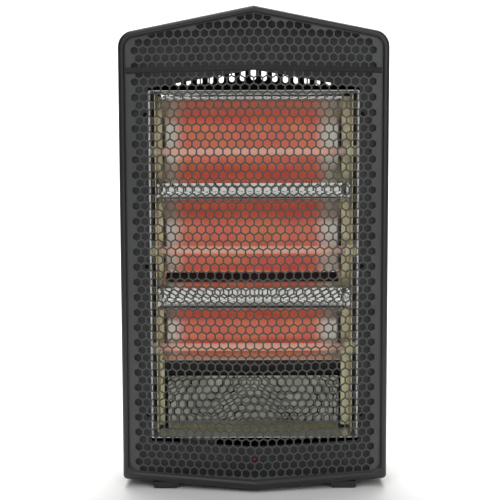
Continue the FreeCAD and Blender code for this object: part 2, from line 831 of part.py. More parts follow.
def foot_screws():
    screws = []
    seat = foot_screw_seat()
    for x, y in foot_screw_places():
        head = rod(foot_screw_head_radius, V(x, y, seat - foot_screw_head), V(x, y, seat))
        shank = rod(foot_screw_radius, V(x, y, seat - 1), V(x, y, base_plate_top() + foot_screw_past_plate))
        nut = rod(foot_screw_head_radius, V(x, y, base_plate_top() + seat_gap),
                  V(x, y, base_plate_top() + foot_nut_thickness))
        screws.append(head.fuse(shank).fuse(nut).removeSplitter())
    return Part.makeCompound(screws)


# ---------------------------------------------------------------- tip-over switch
def collar_low():
    """Underside of the plunger's collar: just over the top of its opening in the base plate."""
    return base_plate_top() + plunger_travel + collar_over_plate


def tip_switch_case():
    """Box on the base plate, open below, with a guide for the plunger's stem in its roof."""
    y = ridge_y + tip_switch_depth
    z0 = base_plate_top() + seat_gap
    half = tip_case_half
    case = box(-half, half, y - half, y + half, z0, z0 + tip_case_height)
    inner = half - tip_case_wall
    case = case.cut(box(-inner, inner, y - inner, y + inner, z0 - 1, guide_low()))
    guide = plunger_radius + plunger_running_gap
    case = case.cut(rod(guide, V(0, y, z0), V(0, y, guide_high())))
    return case


def guide_low():
    return collar_low() + plunger_collar + plunger_stem_above


def guide_high():
    return guide_low() + plunger_travel + plunger_guide_length


def tip_plunger():
    y = ridge_y + tip_switch_depth
    stem = rod(plunger_radius, V(0, y, 0), V(0, y, guide_low() + plunger_travel + plunger_stem_end))
    collar = rod(plunger_collar_radius, V(0, y, collar_low()), V(0, y, collar_low() + plunger_collar))
    stem = stem.fuse(collar).removeSplitter()
    tip = [e for e in stem.Edges if e.BoundBox.ZMax < tiny and e.BoundBox.ZMin > -tiny]
    return stem.makeChamfer(plunger_chamfer, tip)


def tip_spring():
    y = ridge_y + tip_switch_depth
    start = V(0, y, collar_low() + plunger_collar + tiny)
    end = V(0, y, guide_low() - tiny)
    return rod(spring_outer, start, end).cut(rod(spring_inner, start - V(0, 0, 1), end + V(0, 0, 1)))


# ---------------------------------------------------------------- rear controls
def control_back():
    return rear_y + control_lip_thickness - control_thickness


def button_places():
    count = len(button_names)
    return [(n - (count - 1) / 2) * button_pitch for n in range(count)]


def control_panel():
    """Plate that plugs into the rear wall, with a lip outside and a round hole for each button."""
    lip_x = control_width / 2
    lip_z = control_tall / 2
    lip = rounded_block(-lip_x, lip_x, rear_y + tiny, rear_y + control_lip_thickness,
                        control_height - lip_z, control_height + lip_z, control_corner_radius)
    plug_x = lip_x - control_lip - fit_gap
    plug_z = lip_z - control_lip - fit_gap
    plug = box(-plug_x, plug_x, control_back(), rear_y + 1, control_height - plug_z, control_height + plug_z)
    plate = lip.fuse(plug).removeSplitter()
    cuts = []
    for x in button_places():
        cuts.append(rod(button_radius + button_gap, V(x, rear_y - 20, control_height),
                        V(x, rear_y + 20, control_height)))
    return plate.cut(Part.makeCompound(cuts))


def button(x):
    z = control_height
    outer = rear_y + control_lip_thickness + button_proud
    inner = control_back() - fit_gap
    cap = rod(button_radius, V(x, inner - button_collar, z), V(x, outer, z))
    rim = [e for e in cap.Edges if e.BoundBox.YMin > outer - tiny]
    cap = cap.makeFillet(button_rim_radius, rim)
    collar = rod(button_radius + button_collar_extra, V(x, inner - button_collar, z), V(x, inner, z))
    stem = rod(button_stem_radius, V(x, inner - button_collar - button_stem, z), V(x, inner - tiny, z))
    return cap.fuse(collar).fuse(stem).removeSplitter()


def board_y():
    """Front of the control board, seen from the rear: just past the pressed buttons' stems."""
    stem_end = control_back() - fit_gap - button_collar - button_stem
    return stem_end - button_travel - board_gap


def control_board():
    x = control_width / 2 - control_lip - board_side_margin
    z = control_tall / 2
    board = box(-x, x, board_y() - board_thickness, board_y(), control_height - z, control_height + z)
    for left, right, deep, tall in board_parts:
        y1 = board_y() - board_thickness
        board = board.fuse(box(left, right, y1 - deep, y1 + tiny, control_height - tall / 2,
                               control_height + tall / 2))
    return board.removeSplitter()


def rocker_pivot():
    return V(rocker_x, rear_y - rocker_radius * rocker_pin_depth, rocker_height)


def rocker_shape(grow, rear_limit):
    """Rocker cap: a drum about its pin, cut by two flats that meet in a shallow V at the outside."""
    pivot = rocker_pivot()
    half_x = rocker_width / 2 - fit_gap + grow
    drum = Part.makeCylinder(rocker_radius + grow, 2 * half_x, pivot - V(half_x, 0, 0), V(1, 0, 0))
    tall = rocker_tall / 2 - fit_gap - rocker_end_gap + grow
    keep = box(rocker_x - half_x, rocker_x + half_x, pivot.y - rocker_inside - grow, rear_limit,
               pivot.z - tall, pivot.z + tall)
    return drum.common(keep)


def rocker():
    """Rocker in its off position, tipped by half of its swing."""
    pivot = rocker_pivot()
    shape = rocker_shape(0, rear_y + rocker_proud)
    reach = V(rocker_width, 0, 0)
    shape = shape.cut(rod(rocker_pin_radius + rocker_pin_play, pivot - reach, pivot + reach))
    shape.rotate(pivot, V(1, 0, 0), -rocker_swing / 2)
    return shape


def rocker_case():
    """Switch body in the rear wall, with the rocker's pin across it."""
    pivot = rocker_pivot()
    half_x = rocker_width / 2 + rocker_body_wall
    half_z = rocker_tall / 2 + rocker_body_wall
    body = box(rocker_x - half_x, rocker_x + half_x, rear_y - rocker_body_depth, rear_y + 0.5,
               rocker_height - half_z, rocker_height + half_z)
    lip_x = half_x + rocker_lip
    lip_z = half_z + rocker_lip
    lip = rounded_block(rocker_x - lip_x, rocker_x + lip_x, rear_y + tiny, rear_y + rocker_lip_proud,
                        rocker_height - lip_z, rocker_height + lip_z, rocker_lip_radius)
    body = body.fuse(lip).removeSplitter()
    cavity_z = rocker_tall / 2 + rocker_end_gap
    cavity = box(rocker_x - rocker_width / 2, rocker_x + rocker_width / 2,
                 rear_y - rocker_body_depth + rocker_floor, rear_y + 5,
                 rocker_height - cavity_z, rocker_height + cavity_z)
    body = body.cut(cavity)
    pin = rod(rocker_pin_radius, pivot - V(half_x - 0.5, 0, 0), pivot + V(half_x - 0.5, 0, 0))
    for x in (rocker_x - rocker_tab_spacing / 2, rocker_x + rocker_tab_spacing / 2):
        tab = box(x - rocker_tab_sheet / 2, x + rocker_tab_sheet / 2,
                  rear_y - rocker_body_depth - rocker_tab_length, rear_y - rocker_body_depth + 1,
                  rocker_height - rocker_tab_width / 2, rocker_height + rocker_tab_width / 2)
        body = body.fuse(tab)
    return body.fuse(pin).removeSplitter()


def cord_gland():
    """Gland for the supply cord: head outside, thread through the wall, open bore."""
    y_out = body_depth / 2
    y_in = rear_y - housing_wall - gland_inside

    def at(y):
        return V(gland_x, y, gland_height)

    flange_end = rear_y + gland_flange
    head = rod(gland_head_radius, at(rear_y + tiny), at(flange_end))
    cone = Part.makeCone(gland_head_radius - 1, gland_bore_radius + gland_end_wall, y_out - flange_end,
                         at(flange_end - tiny), V(0, 1, 0))
    thread = rod(gland_thread_radius, at(y_in), at(rear_y + 1))
    body = head.fuse(cone).fuse(thread).removeSplitter()
    trim = box(gland_x - 30, gland_x + 30, y_in - 5, y_out, gland_height - 30, gland_height + 30)
    return body.common(trim).cut(rod(gland_bore_radius, at(y_in - 1), at(y_out + 1)))


def gland_nut():
    y1 = rear_y - housing_wall - tiny
    y0 = y1 - gland_nut_thickness
    corners = []
    radius = gland_head_radius + 1
    for n in range(6):
        a = math.radians(60 * n)
        corners.append(V(gland_x + radius * math.cos(a), y0, gland_height + radius * math.sin(a)))
    nut = Part.Face(Part.makePolygon(corners + corners[:1])).extrude(V(0, y1 - y0, 0))
    return nut.cut(rod(gland_thread_radius + 0.05, V(gland_x, y0 - 1, gland_height),
                       V(gland_x, y1 + 1, gland_height)))


def handle_cup():
    """Finger recess let into the rear wall, with a lip outside."""
    x = handle_width / 2
    z = handle_tall / 2
    h = handle_height
    wall = handle_wall
    outer = rounded_block(-x - wall, x + wall, rear_y - handle_pocket - wall, rear_y + 0.5,
                          h - z - wall, h + z + wall, 8.0)
    lip = rounded_block(-x - wall - handle_lip, x + wall + handle_lip, rear_y + tiny,
                        rear_y + handle_lip_thickness, h - z - wall - handle_lip,
                        h + z + wall + handle_lip, 10.0)
    pocket = rounded_block(-x, x, rear_y - handle_pocket, rear_y + 10, h - z, h + z, 6.0)
    return outer.fuse(lip).removeSplitter().cut(pocket)


# ---------------------------------------------------------------- receiver and screws
def receiver_lens():
    y0 = ridge_y + panel_depth
    stem = rod(lens_radius, V(0, y0, lens_height), V(0, y0 + panel_sheet + fit_gap, lens_height))
    dome = Part.makeSphere(lens_radius, V(0, y0, lens_height))
    dome = dome.common(box(-5, 5, y0 - lens_proud, y0, lens_height - 5, lens_height + 5))
    flange = rod(lens_flange_radius, V(0, y0 + panel_sheet + tiny, lens_height),
                 V(0, y0 + panel_sheet + lens_flange, lens_height))
    return stem.fuse(dome).fuse(flange).removeSplitter()


def receiver_board():
    y0 = ridge_y + panel_depth + panel_sheet + lens_flange + tiny
    x = receiver_board_width / 2
    z = receiver_board_tall / 2
    return box(-x, x, y0, y0 + board_thickness, lens_height - z, lens_height + z)


def housing_screws():
    screws = []
    for x, z in housing_screw_places():
        head = rod(housing_screw_head_radius, V(x, rear_y + tiny, z), V(x, rear_y + housing_screw_head, z))
        shank = rod(housing_screw_radius, V(x, rear_y - housing_screw_length, z), V(x, rear_y + 1, z))
        screws.append(head.fuse(shank).removeSplitter())
    return Part.makeCompound(screws)


def case_screws():
    screws = []
    y = ridge_y + panel_depth
    for x, z in case_screw_places():
        head = rod(case_screw_head_radius, V(x, y - case_screw_head, z), V(x, y - tiny, z))
        shank = rod(case_screw_radius, V(x, y - 0.5, z), V(x, y + case_screw_length, z))
        screws.append(head.fuse(shank).removeSplitter())
    return Part.makeCompound(screws)


def main():
    os.makedirs("parts", exist_ok=True)
    write("front_frame", front_frame())
    write("cross_bar", cross_bar())
    write("front_grille", front_grille())
    write("inner_panel", inner_panel())
    write("rear_housing", rear_housing())
    write("reflector_case", reflector_case())
    for index, name in enumerate(("upper", "middle", "lower")):
        write("reflector_" + name, reflector(index))
        write("quartz_tube_" + name, quartz_tube(tube_heights[index]))
        write("heating_coil_" + name, heating_coil(tube_heights[index]))
        write("left_cap_" + name, ceramic_cap(-1, tube_heights[index]))
        write("right_cap_" + name, ceramic_cap(1, tube_heights[index]))
    write("base_reflector", base_reflector())
    for side, name in ((-1, "left"), (1, "right")):
        write(name + "_end_plate", end_plate(side))
        write(name + "_leads", side_leads(side))
        write(name + "_foot", foot(side))
    write("foot_pads", foot_pads())
    write("foot_screws", foot_screws())
    write("base_plate", base_plate())
    write("heat_shield", heat_shield())
    write("thermal_cutout", thermal_cutout())
    write("terminal_block", terminal_block())
    write("tip_switch_case", tip_switch_case())
    write("tip_plunger", tip_plunger())
    write("tip_spring", tip_spring())
    write("control_panel", control_panel())
    write("control_board", control_board())
    for name, x in zip(button_names, button_places()):
        write(name, button(x))
    write("rocker_case", rocker_case())
    write("rocker", rocker())
    write("cord_gland", cord_gland())
    write("gland_nut", gland_nut())
    write("handle_cup", handle_cup())
    write("receiver_lens", receiver_lens())
    write("receiver_board", receiver_board())
    write("housing_screws", housing_screws())
    write("case_screws", case_screws())


main()
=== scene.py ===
"""Looks of a free-standing quartz heater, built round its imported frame.

Every length is in metres and every piece lies in the frame's own axes: +X to the right seen
from the front, the grille faces -Y, +Z is up, and z = 0 is the floor under the feet.
"""
import json
import math

import bpy
import numpy as np
from bpy.props import FloatProperty, FloatVectorProperty, IntProperty, PointerProperty
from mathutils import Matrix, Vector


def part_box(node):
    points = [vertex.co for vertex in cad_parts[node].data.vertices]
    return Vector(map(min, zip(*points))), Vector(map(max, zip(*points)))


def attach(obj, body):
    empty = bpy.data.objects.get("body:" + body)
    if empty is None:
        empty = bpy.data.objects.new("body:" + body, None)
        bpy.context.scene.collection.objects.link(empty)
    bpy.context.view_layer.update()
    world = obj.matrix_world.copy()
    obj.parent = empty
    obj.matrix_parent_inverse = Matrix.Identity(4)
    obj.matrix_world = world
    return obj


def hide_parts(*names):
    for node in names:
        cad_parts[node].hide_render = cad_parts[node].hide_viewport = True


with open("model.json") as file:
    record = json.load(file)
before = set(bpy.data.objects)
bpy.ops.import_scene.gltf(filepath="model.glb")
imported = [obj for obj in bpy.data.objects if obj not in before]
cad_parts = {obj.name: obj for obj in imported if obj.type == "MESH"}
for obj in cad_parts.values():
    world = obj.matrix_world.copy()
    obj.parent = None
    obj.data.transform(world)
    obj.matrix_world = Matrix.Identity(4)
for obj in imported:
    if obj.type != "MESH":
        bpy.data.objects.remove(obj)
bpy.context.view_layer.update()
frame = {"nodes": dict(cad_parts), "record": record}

bl_info = {
    "name": "Quartz tower heater",
    "version": (1, 0, 0),
    "blender": (4, 5, 0),
    "location": "View3D > Sidebar > Heater",
    "description": "Builds the visible pieces and finishes of a quartz heater",
    "category": "Object",
}

MM = 0.001
BODY = "heater"
LEVELS = ("upper", "middle", "lower")


def srgb(code):
    """Linear RGBA of an sRGB hex colour."""
    parts = np.array([int(code[n:n + 2], 16) for n in (0, 2, 4)]) / 255
    linear = np.where(parts <= 0.04045, parts / 12.92, ((parts + 0.055) / 1.055) ** 2.4)
    return (*(float(c) for c in linear), 1.0)


def length(name, description, millimetres):
    return FloatProperty(name=name, description=description, default=millimetres * MM, unit="LENGTH",
                         precision=5)


def colour(name, description, code):
    return FloatVectorProperty(name=name, description=description, default=srgb(code), size=4,
                               subtype="COLOR", min=0.0, max=1.0)


# ------------------------------------------------------------------ what a user would change
class BodyShape(bpy.types.PropertyGroup):
    gable_rise: length("Gable rise", "Peak above the top corners", 29.5)
    chevron_drop: length("Chevron drop", "Lower point below the bottom corners", 6.0)
    prow_angle: FloatProperty(name="Prow angle", description="Lean of each half of the front",
                              default=math.atan(27.9 / 167.0), subtype="ANGLE")
    top_radius: length("Top corner", "Outer radius of the top corners", 20.0)
    low_radius: length("Bottom corner", "Outer radius of the bottom corners", 5.0)
    peak_radius: length("Peak radius", "Rounding of the gable's peak", 3.0)
    face: length("Frame face", "Face of the frame at the sides and top", 9.3)
    face_low: length("Lower frame face", "Face of the frame along the bottom", 12.4)
    inner_top_radius: length("Opening, top", "Radius of the opening's top corners", 12.0)
    inner_low_radius: length("Opening, bottom", "Radius of the opening's bottom corners", 11.5)
    frame_wall: length("Frame wall", "Thickness of the frame's face", 3.0)
    frame_depth: length("Frame depth", "Skirt of the frame, front to back", 14.0)
    frame_skirt: length("Frame skirt", "Thickness of the skirt", 2.5)
    bar_rise: length("Bar rise", "Middle of the cross bar above its ends", 1.5)
    bar_half_depth: length("Bar, half depth", "Half of the cross bar, front to back", 1.28)
    bar_recess: length("Bar recess", "Cross bar behind the frame's face", 0.6)
    bar_corner: length("Bar corner", "Rounding of the cross bar's section", 1.2)
    lens_radius: length("Lens radius", "Radius of the receiver's dome", 2.9)
    lens_flange: length("Lens flange", "Thickness of the receiver's flange", 1.2)
    bead_outer: length("Bead, outer edge", "Outline to the bead's flat top", 3.9)
    bead_inner: length("Bead, inner edge", "Outline to where the bead falls to the opening", 5.2)


class GrilleShape(bpy.types.PropertyGroup):
    pitch: length("Hole pitch", "Centre to centre along a row", 11.0)
    flats: length("Hole size", "Across the flats of a hole", 9.1)
    sheet: length("Sheet", "Thickness of the pierced sheet", 1.0)
    rounding: length("Punched edge", "Rounding round each hole", 0.22)
    first_row: FloatProperty(name="First row", default=2.2,
                             description="Rows from the bar's top to the row that sets the pattern")
    land: length("Edge land", "Solid metal between a hole and the sheet's edge", 1.4)
    long_row: IntProperty(name="Holes in a long row", description="Holes across the sheet", default=28)


class LampShape(bpy.types.PropertyGroup):
    coil_radius: length("Coil radius", "Middle of the wire to the coil's axis", 2.05)
    wire_radius: length("Wire radius", "Radius of the resistance wire", 0.42)
    coil_pitch: length("Coil pitch", "One turn to the next", 2.3)
    tube_wall: length("Tube wall", "Thickness of the quartz", 1.0)
    gauge: length("Sheet gauge", "Thickness of the reflector sheets", 0.6)
    top_flange: length("Top flange", "Flat edge above the upper trough", 8.7)
    slot_above_lip: length("Slot above lip", "Lip of the middle trough to its cooling slot", 6.0)
    slot_height: length("Slot height", "Height of the cooling slot", 9.5)
    slot_behind_lip: length("Slot behind lip", "Where the slot starts, front to back", 8.0)
    # The curl, glow and unlit settings place the painted reflection of the wire on the reflectors; the curl
    # also sets where heat dulls the sheet.
    slot_end_margin: length("Slot end margin", "Sheet left at each end of the slot", 3.0)
    curl_start: length("Curl start", "Behind the lip: still as bright as the flat strips", 3.0)
    curl_end: length("Curl end", "Behind the lip: fully dulled by heat", 12.0)
    glow_middle: length("Glow middle", "Middle of the lit part, to the left of the body's", -6.0)
    glow_half: length("Lit half width", "Middle to where the glow has faded", 103.0)
    glow_fade: length("Glow fade", "Length over which the glow fades", 22.0)
    fascia: FloatVectorProperty(name="Flat strips", description="Height of each flat strip, top to bottom",
                                default=(18.6 * MM, 25 * MM, 0.0), unit="LENGTH", precision=5)
    unlit: FloatVectorProperty(name="Unlit foot", description="Grey foot of each trough, top to bottom",
                               default=(2 * MM, 15 * MM, 11 * MM), unit="LENGTH", precision=5)
    unlit_head: FloatVectorProperty(name="Unlit head", description="Grey top of each trough, top to bottom",
                                    default=(17 * MM, 3 * MM, 3 * MM), unit="LENGTH", precision=5)
    reflector_power: FloatProperty(name="Trough shape", description="Higher is a flatter trough",
                                   default=3.6)


class HeaterColours(bpy.types.PropertyGroup):
    moulding: colour("Charcoal moulding", "Frame, bar and feet", "1a1b1c")
    grille: colour("Grille coat", "Powder coat on the pierced sheet", "3f4140")
    housing: colour("Housing coat", "Textured powder coat of the rear housing", "303132")
    panel: colour("Panel paint", "Matt paint behind the grille", "3a3b3b")
    reflector: colour("Reflector", "Polished aluminium", "d6d6d1")
    trough: colour("Trough", "Same sheet inside the troughs, dulled by heat", "e0ded4")
    base_panel: colour("Base panel", "Mirror at the foot of the case", "78786f")
    straw: colour("Straw tint", "Heat tint along the foot of the base panel", "85805f")
    zinc: colour("Zinc plate", "Yellow passivated end plates", "ebe5c0")
    ceramic: colour("Steatite", "Ceramic end caps", "d9d7ae")
    # Glow, warm glow and tube glow are painted light: the wire's reflection in the reflectors and its light
    # in the quartz, given as colour and emission.
    glow: colour("Glow", "Light of the wire in the reflectors", "c7685c")
    warm_glow: colour("Warm glow", "Hotter patches of the glow", "c87c5c")
    tube_glow: colour("Tube glow", "Light in the quartz tubes", "e09274")
    floor: colour("Floor", "Pale studio floor", "f4f4f3")


def shape():
    return bpy.context.scene.heater_body


def colours():
    return bpy.context.scene.heater_colours


# ------------------------------------------------------------------ meshes from arrays
def grid_faces(rows, columns, wrap_rows=False, wrap_columns=False):
    """Quads between neighbouring rows and columns of a grid; a wrap joins the last to the first."""
    index = np.arange(rows * columns).reshape(rows, columns)
    if wrap_rows:
        index = np.vstack([index, index[:1]])
    if wrap_columns:
        index = np.hstack([index, index[:, :1]])
    corners = (index[:-1, :-1], index[:-1, 1:], index[1:, 1:], index[1:, :-1])
    return np.stack(corners, -1).reshape(-1, 4)


def signed_volume(points, quads):
    """Sum of the tetrahedra from the origin to each face: above zero when faces point outwards."""
    a, b, c, d = (points[quads[:, n]] for n in range(4))
    return float(np.einsum("ij,ij->", a, np.cross(b, c) + np.cross(c, d)))


def make_piece(name, points, faces, material, stands_for, body=BODY, sharp=35.0):
    """Puts arrays into a mesh object that rides on a body and stands for CAD nodes."""
    mesh = bpy.data.meshes.new(name)
    mesh.from_pydata(points.tolist(), [], faces)
    mesh.polygons.foreach_set("use_smooth", np.ones(len(mesh.polygons), bool))
    mesh.set_sharp_from_angle(angle=math.radians(sharp))
    mesh.materials.append(material)
    mesh.update()
    piece = bpy.data.objects.new(name, mesh)
    bpy.context.scene.collection.objects.link(piece)
    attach(piece, body)
    if stands_for:
        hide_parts(*stands_for)
    return piece


def closed_grid(points, wrap_rows=False):
    """Closed skin of a grid whose columns are rings: rows wrap, or a fan closes each end."""
    rows, columns = points.shape[:2]
    flat = points.reshape(-1, 3)
    quads = grid_faces(rows, columns, wrap_rows, True)
    if wrap_rows:
        if signed_volume(flat, quads) < 0:
            quads = quads[:, ::-1]
        return flat, quads.tolist()
    ends = np.stack([points[0].mean(0), points[-1].mean(0)])
    flat = np.vstack([flat, ends])
    ring = np.arange(columns)
    following = np.roll(ring, -1)
    first = np.stack([np.full(columns, rows * columns), following, ring], -1)
    last_ring = (rows - 1) * columns
    last = np.stack([np.full(columns, rows * columns + 1), last_ring + ring, last_ring + following], -1)
    fans = np.vstack([first, last])
    whole = np.vstack([quads, np.hstack([fans, fans[:, 2:]])])
    if signed_volume(flat, whole) < 0:
        quads = quads[:, ::-1]
        fans = fans[:, ::-1]
    return flat, quads.tolist() + fans.tolist()


def rounded_outline(corners, radii, steps):
    """Polygon with circular corners: each arc is its centre plus radius times a turning direction."""
    corners = np.asarray(corners, float)
    radii = np.asarray(radii, float)[:, None]
    back = np.roll(corners, 1, 0) - corners
    ahead = np.roll(corners, -1, 0) - corners
    back /= np.linalg.norm(back, axis=1)[:, None]
    ahead /= np.linalg.norm(ahead, axis=1)[:, None]
    bisector = back + ahead
    bisector /= np.linalg.norm(bisector, axis=1)[:, None]
    half = np.arccos(np.clip((back * bisector).sum(1), -1, 1))[:, None]
    centre = corners + bisector * radii / np.sin(half)
    start = corners + back * radii / np.tan(half) - centre
    turn = np.pi - 2 * half
    side = np.sign(start[:, :1] * (ahead[:, 1:]) - start[:, 1:] * ahead[:, :1])
    angles = np.linspace(0, 1, steps + 1)[None, :] * turn * side
    c, s = np.cos(angles), np.sin(angles)
    x = centre[:, :1] + start[:, :1] * c - start[:, 1:] * s
    z = centre[:, 1:] + start[:, :1] * s + start[:, 1:] * c
    return np.stack([x, z], -1).reshape(-1, 2)


def rounded_rectangle(half_a, half_b, radius, steps=4):
    corners = [(-half_a, -half_b), (half_a, -half_b), (half_a, half_b), (-half_a, half_b)]
    return rounded_outline(corners, [radius] * 4, steps)


def body_outline(inset, inset_low, top_radius, low_radius, steps=8):
    """Gabled top, straight sides and chevron foot, moved in from the frame's outer edge."""
    s = shape()
    low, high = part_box("front_frame")
    half = high.x
    gable = s.gable_rise / half
    chevron = s.chevron_drop / half
    x = half - inset
    peak = high.z - inset * math.hypot(1, gable)
    point = low.z + inset_low * math.hypot(1, chevron)
    corners = [(0, peak), (x, peak - gable * x), (x, point + chevron * x), (0, point),
               (-x, point + chevron * x), (-x, peak - gable * x)]
    radii = [s.peak_radius, top_radius, low_radius, s.peak_radius / 3, low_radius, top_radius]
    return rounded_outline(corners, radii, steps)


def prow(x, behind=0.0):
    """Depth of the folded front: the ridge plus the lean of each half, plus a distance behind it."""
    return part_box("front_frame")[0].y + np.abs(x) * math.tan(shape().prow_angle) + behind


# ------------------------------------------------------------------ shader helpers
def add(material, kind, inputs=None, **settings):
    """Adds one node: settings are its own options, inputs are values or the sockets that feed it."""
    tree = material.node_tree
    node = tree.nodes.new(kind)
    for key, value in settings.items():
        setattr(node, key, value)
    for key, value in (inputs or {}).items():
        socket = node.inputs[key]
        if isinstance(value, bpy.types.NodeSocket):
            tree.links.new(value, socket)
        else:
            socket.default_value = value
    return node


def blend(material, factor, first, second):
    """Colour part way from the first to the second; either may be a socket or a plain colour."""
    node = add(material, "ShaderNodeMix", {0: factor}, data_type="RGBA")
    for socket, value in ((node.inputs[6], first), (node.inputs[7], second)):
        if isinstance(value, bpy.types.NodeSocket):
            material.node_tree.links.new(value, socket)
        else:
            socket.default_value = value
    return node.outputs[2]


def per_metre(millimetres):
    """Texture scale that gives features of this size on object coordinates."""
    return 1.0 / (millimetres * MM)


def start_material(name):
    """An empty material with its surface, its output and the place of each point on the object."""
    material = bpy.data.materials.new(name)
    material.use_nodes = True
    material.node_tree.nodes.clear()
    surface = add(material, "ShaderNodeBsdfPrincipled")
    add(material, "ShaderNodeOutputMaterial", {"Surface": surface.outputs["BSDF"]})
    place = add(material, "ShaderNodeTexCoord").outputs["Object"]
    return material, surface, place


def set_inputs(node, **values):
    for key, value in values.items():
        node.inputs[key.replace("_", " ")].default_value = value


def feed(material, node, name, socket):
    material.node_tree.links.new(socket, node.inputs[name])


def cloud(material, place, size, detail):
    """Cloudy noise from zero to one, with clouds of this size in millimetres."""
    return add(material, "ShaderNodeTexNoise", {"Vector": place, "Scale": per_metre(size),
                                                "Detail": detail}).outputs["Fac"]


def remap(material, value, start, end, low, high, **settings):
    """The value from start to end, stretched to run from low to high."""
    return add(material, "ShaderNodeMapRange", {"Value": value, "From Min": start, "From Max": end,
                                                "To Min": low, "To Max": high},
               **settings).outputs["Result"]


def mottle(material, place, size, low, high, detail=3.0):
    """A soft cloudy value between low and high, with clouds of this size in millimetres."""
    return remap(material, cloud(material, place, size, detail), 0.3, 0.7, low, high)


def tint(material, base, factor):
    """The base colour made darker or lighter by a factor that varies over the surface."""
    return add(material, "ShaderNodeVectorMath", {0: base[:3], "Scale": factor},
               operation="SCALE").outputs[0]


def raise_surface(material, surface, height, distance, strength=1.0):
    bump = add(material, "ShaderNodeBump", {"Height": height, "Distance": distance * MM,
                                            "Strength": strength})
    feed(material, surface, "Normal", bump.outputs["Normal"])


# ------------------------------------------------------------------ finishes
def spark_textured_abs(name, base, roughness):
    """Injection-moulded ABS from a spark-eroded tool: a fine even grain that breaks up highlights."""
    material, surface, place = start_material(name)
    set_inputs(surface, IOR=1.53, Roughness=roughness)
    feed(material, surface, "Base Color", tint(material, base, mottle(material, place, 45, 0.9, 1.1)))
    grain = cloud(material, place, 0.7, 2.0)
    raise_surface(material, surface, grain, 0.05, 0.5)
    return material


def powder_coat(name, base, roughness, grain_size, grain_height):
    """Powder-coated steel: cured powder leaves an orange-peel skin that softens reflections."""
    material, surface, place = start_material(name)
    set_inputs(surface, IOR=1.5)
    feed(material, surface, "Base Color", tint(material, base, mottle(material, place, 60, 0.92, 1.08)))
    feed(material, surface, "Roughness", mottle(material, place, 25, roughness - 0.04, roughness + 0.04))
    peel = cloud(material, place, grain_size, 3.0)
    raise_surface(material, surface, peel, grain_height, 0.6)
    return material


def matt_heat_paint(name, base):
    """Matt stove paint: dusty, flat black with faint brush-wide clouds from the heat."""
    material, surface, place = start_material(name)
    set_inputs(surface, IOR=1.45)
    feed(material, surface, "Base Color", tint(material, base, mottle(material, place, 30, 0.8, 1.2)))
    feed(material, surface, "Roughness", mottle(material, place, 8, 0.62, 0.78))
    tooth = cloud(material, place, 0.5, 2.0)
    raise_surface(material, surface, tooth, 0.03, 0.5)
    return material


def lit_span(material, place, half, fade):
    """One in the middle of the lamps, falling smoothly to zero towards their ends."""
    along = add(material, "ShaderNodeSeparateXYZ", {"Vector": place}).outputs["X"]
    from_middle = add(material, "ShaderNodeMath", {0: along, 1: bpy.context.scene.heater_lamps.glow_middle},
                      operation="SUBTRACT").outputs[0]
    distance = add(material, "ShaderNodeMath", {0: from_middle}, operation="ABSOLUTE").outputs[0]
    return remap(material, distance, half - fade, half, 1.0, 0.0, interpolation_type="SMOOTHSTEP")


def reflector_with_painted_glow(name, glow_strength, roughness):
    """Bright-rolled aluminium reflector, a metal mirror, with a painted reflection of the wire where it is
    lit: red base colour and red emission.
    """
    c = colours()
    material, surface, place = start_material(name)
    set_inputs(surface, Metallic=1.0)
    lit = add(material, "ShaderNodeAttribute", attribute_name="lit").outputs["Fac"]
    # The painted glow drifts from red to orange in patches a few centimetres wide.
    drift = mottle(material, place, 38, 0.0, 1.0, 1.0)
    glow = blend(material, drift, c.glow, c.warm_glow)
    deep = add(material, "ShaderNodeAttribute", attribute_name="deep").outputs["Fac"]
    bright = tint(material, c.reflector, mottle(material, place, 18, 0.86, 1.0))
    cool = blend(material, deep, bright, c.trough)
    # Painted reflection: where lit, the base colour is painted the glow's red instead of the bare metal.
    feed(material, surface, "Base Color", blend(material, lit, cool, glow))
    # Rolling lines run along the lamps, about half a millimetre apart.
    stretched = add(material, "ShaderNodeMapping", {"Vector": place, "Scale": (0.02, 1.0, 1.0)}).outputs[0]
    lines = cloud(material, stretched, 0.6, 2.0)
    # The sheet is a little out of true, in dents some centimetres wide.
    dents = cloud(material, place, 26, 1.0)
    height = add(material, "ShaderNodeMath", {0: dents, 1: 90.0, 2: lines},
                 operation="MULTIPLY_ADD").outputs[0]
    raise_surface(material, surface, height, 0.004)
    # Heat has dulled the sheet inside the troughs; the flat strips stay bright.
    smooth = mottle(material, place, 14, roughness - 0.03, roughness + 0.05)
    dull = add(material, "ShaderNodeMath", {0: deep, 1: 0.32, 2: smooth},
               operation="MULTIPLY_ADD").outputs[0]
    feed(material, surface, "Roughness", dull)
    # Painted glow: the reflector is no lamp, but it emits the glow's colour in patches where lit, standing
    # in for the wire's reflection.
    patch = mottle(material, place, 22, 0.7 * glow_strength, 1.2 * glow_strength)
    light = add(material, "ShaderNodeMath", {0: lit, 1: patch}, operation="MULTIPLY").outputs[0]
    feed(material, surface, "Emission Strength", light)
    feed(material, surface, "Emission Color", glow)
    return material


def base_mirror(name):
    """Mirror sheet at the foot: dulled by heat, with a straw tint where it meets the case floor."""
    c = colours()
    material, surface, place = start_material(name)
    set_inputs(surface, Metallic=1.0)
    low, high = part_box("base_reflector")
    height = add(material, "ShaderNodeSeparateXYZ", {"Vector": place}).outputs["Z"]
    foot = remap(material, height, low.z + 2 * MM, low.z + 8 * MM, 1.0, 0.0)
    sheet = tint(material, c.base_panel, mottle(material, place, 24, 0.7, 1.25))
    feed(material, surface, "Base Color", blend(material, foot, sheet, c.straw))
    feed(material, surface, "Roughness", mottle(material, place, 12, 0.03, 0.1))
    waves = cloud(material, place, 34, 1.0)
    raise_surface(material, surface, waves, 0.5)
    return material


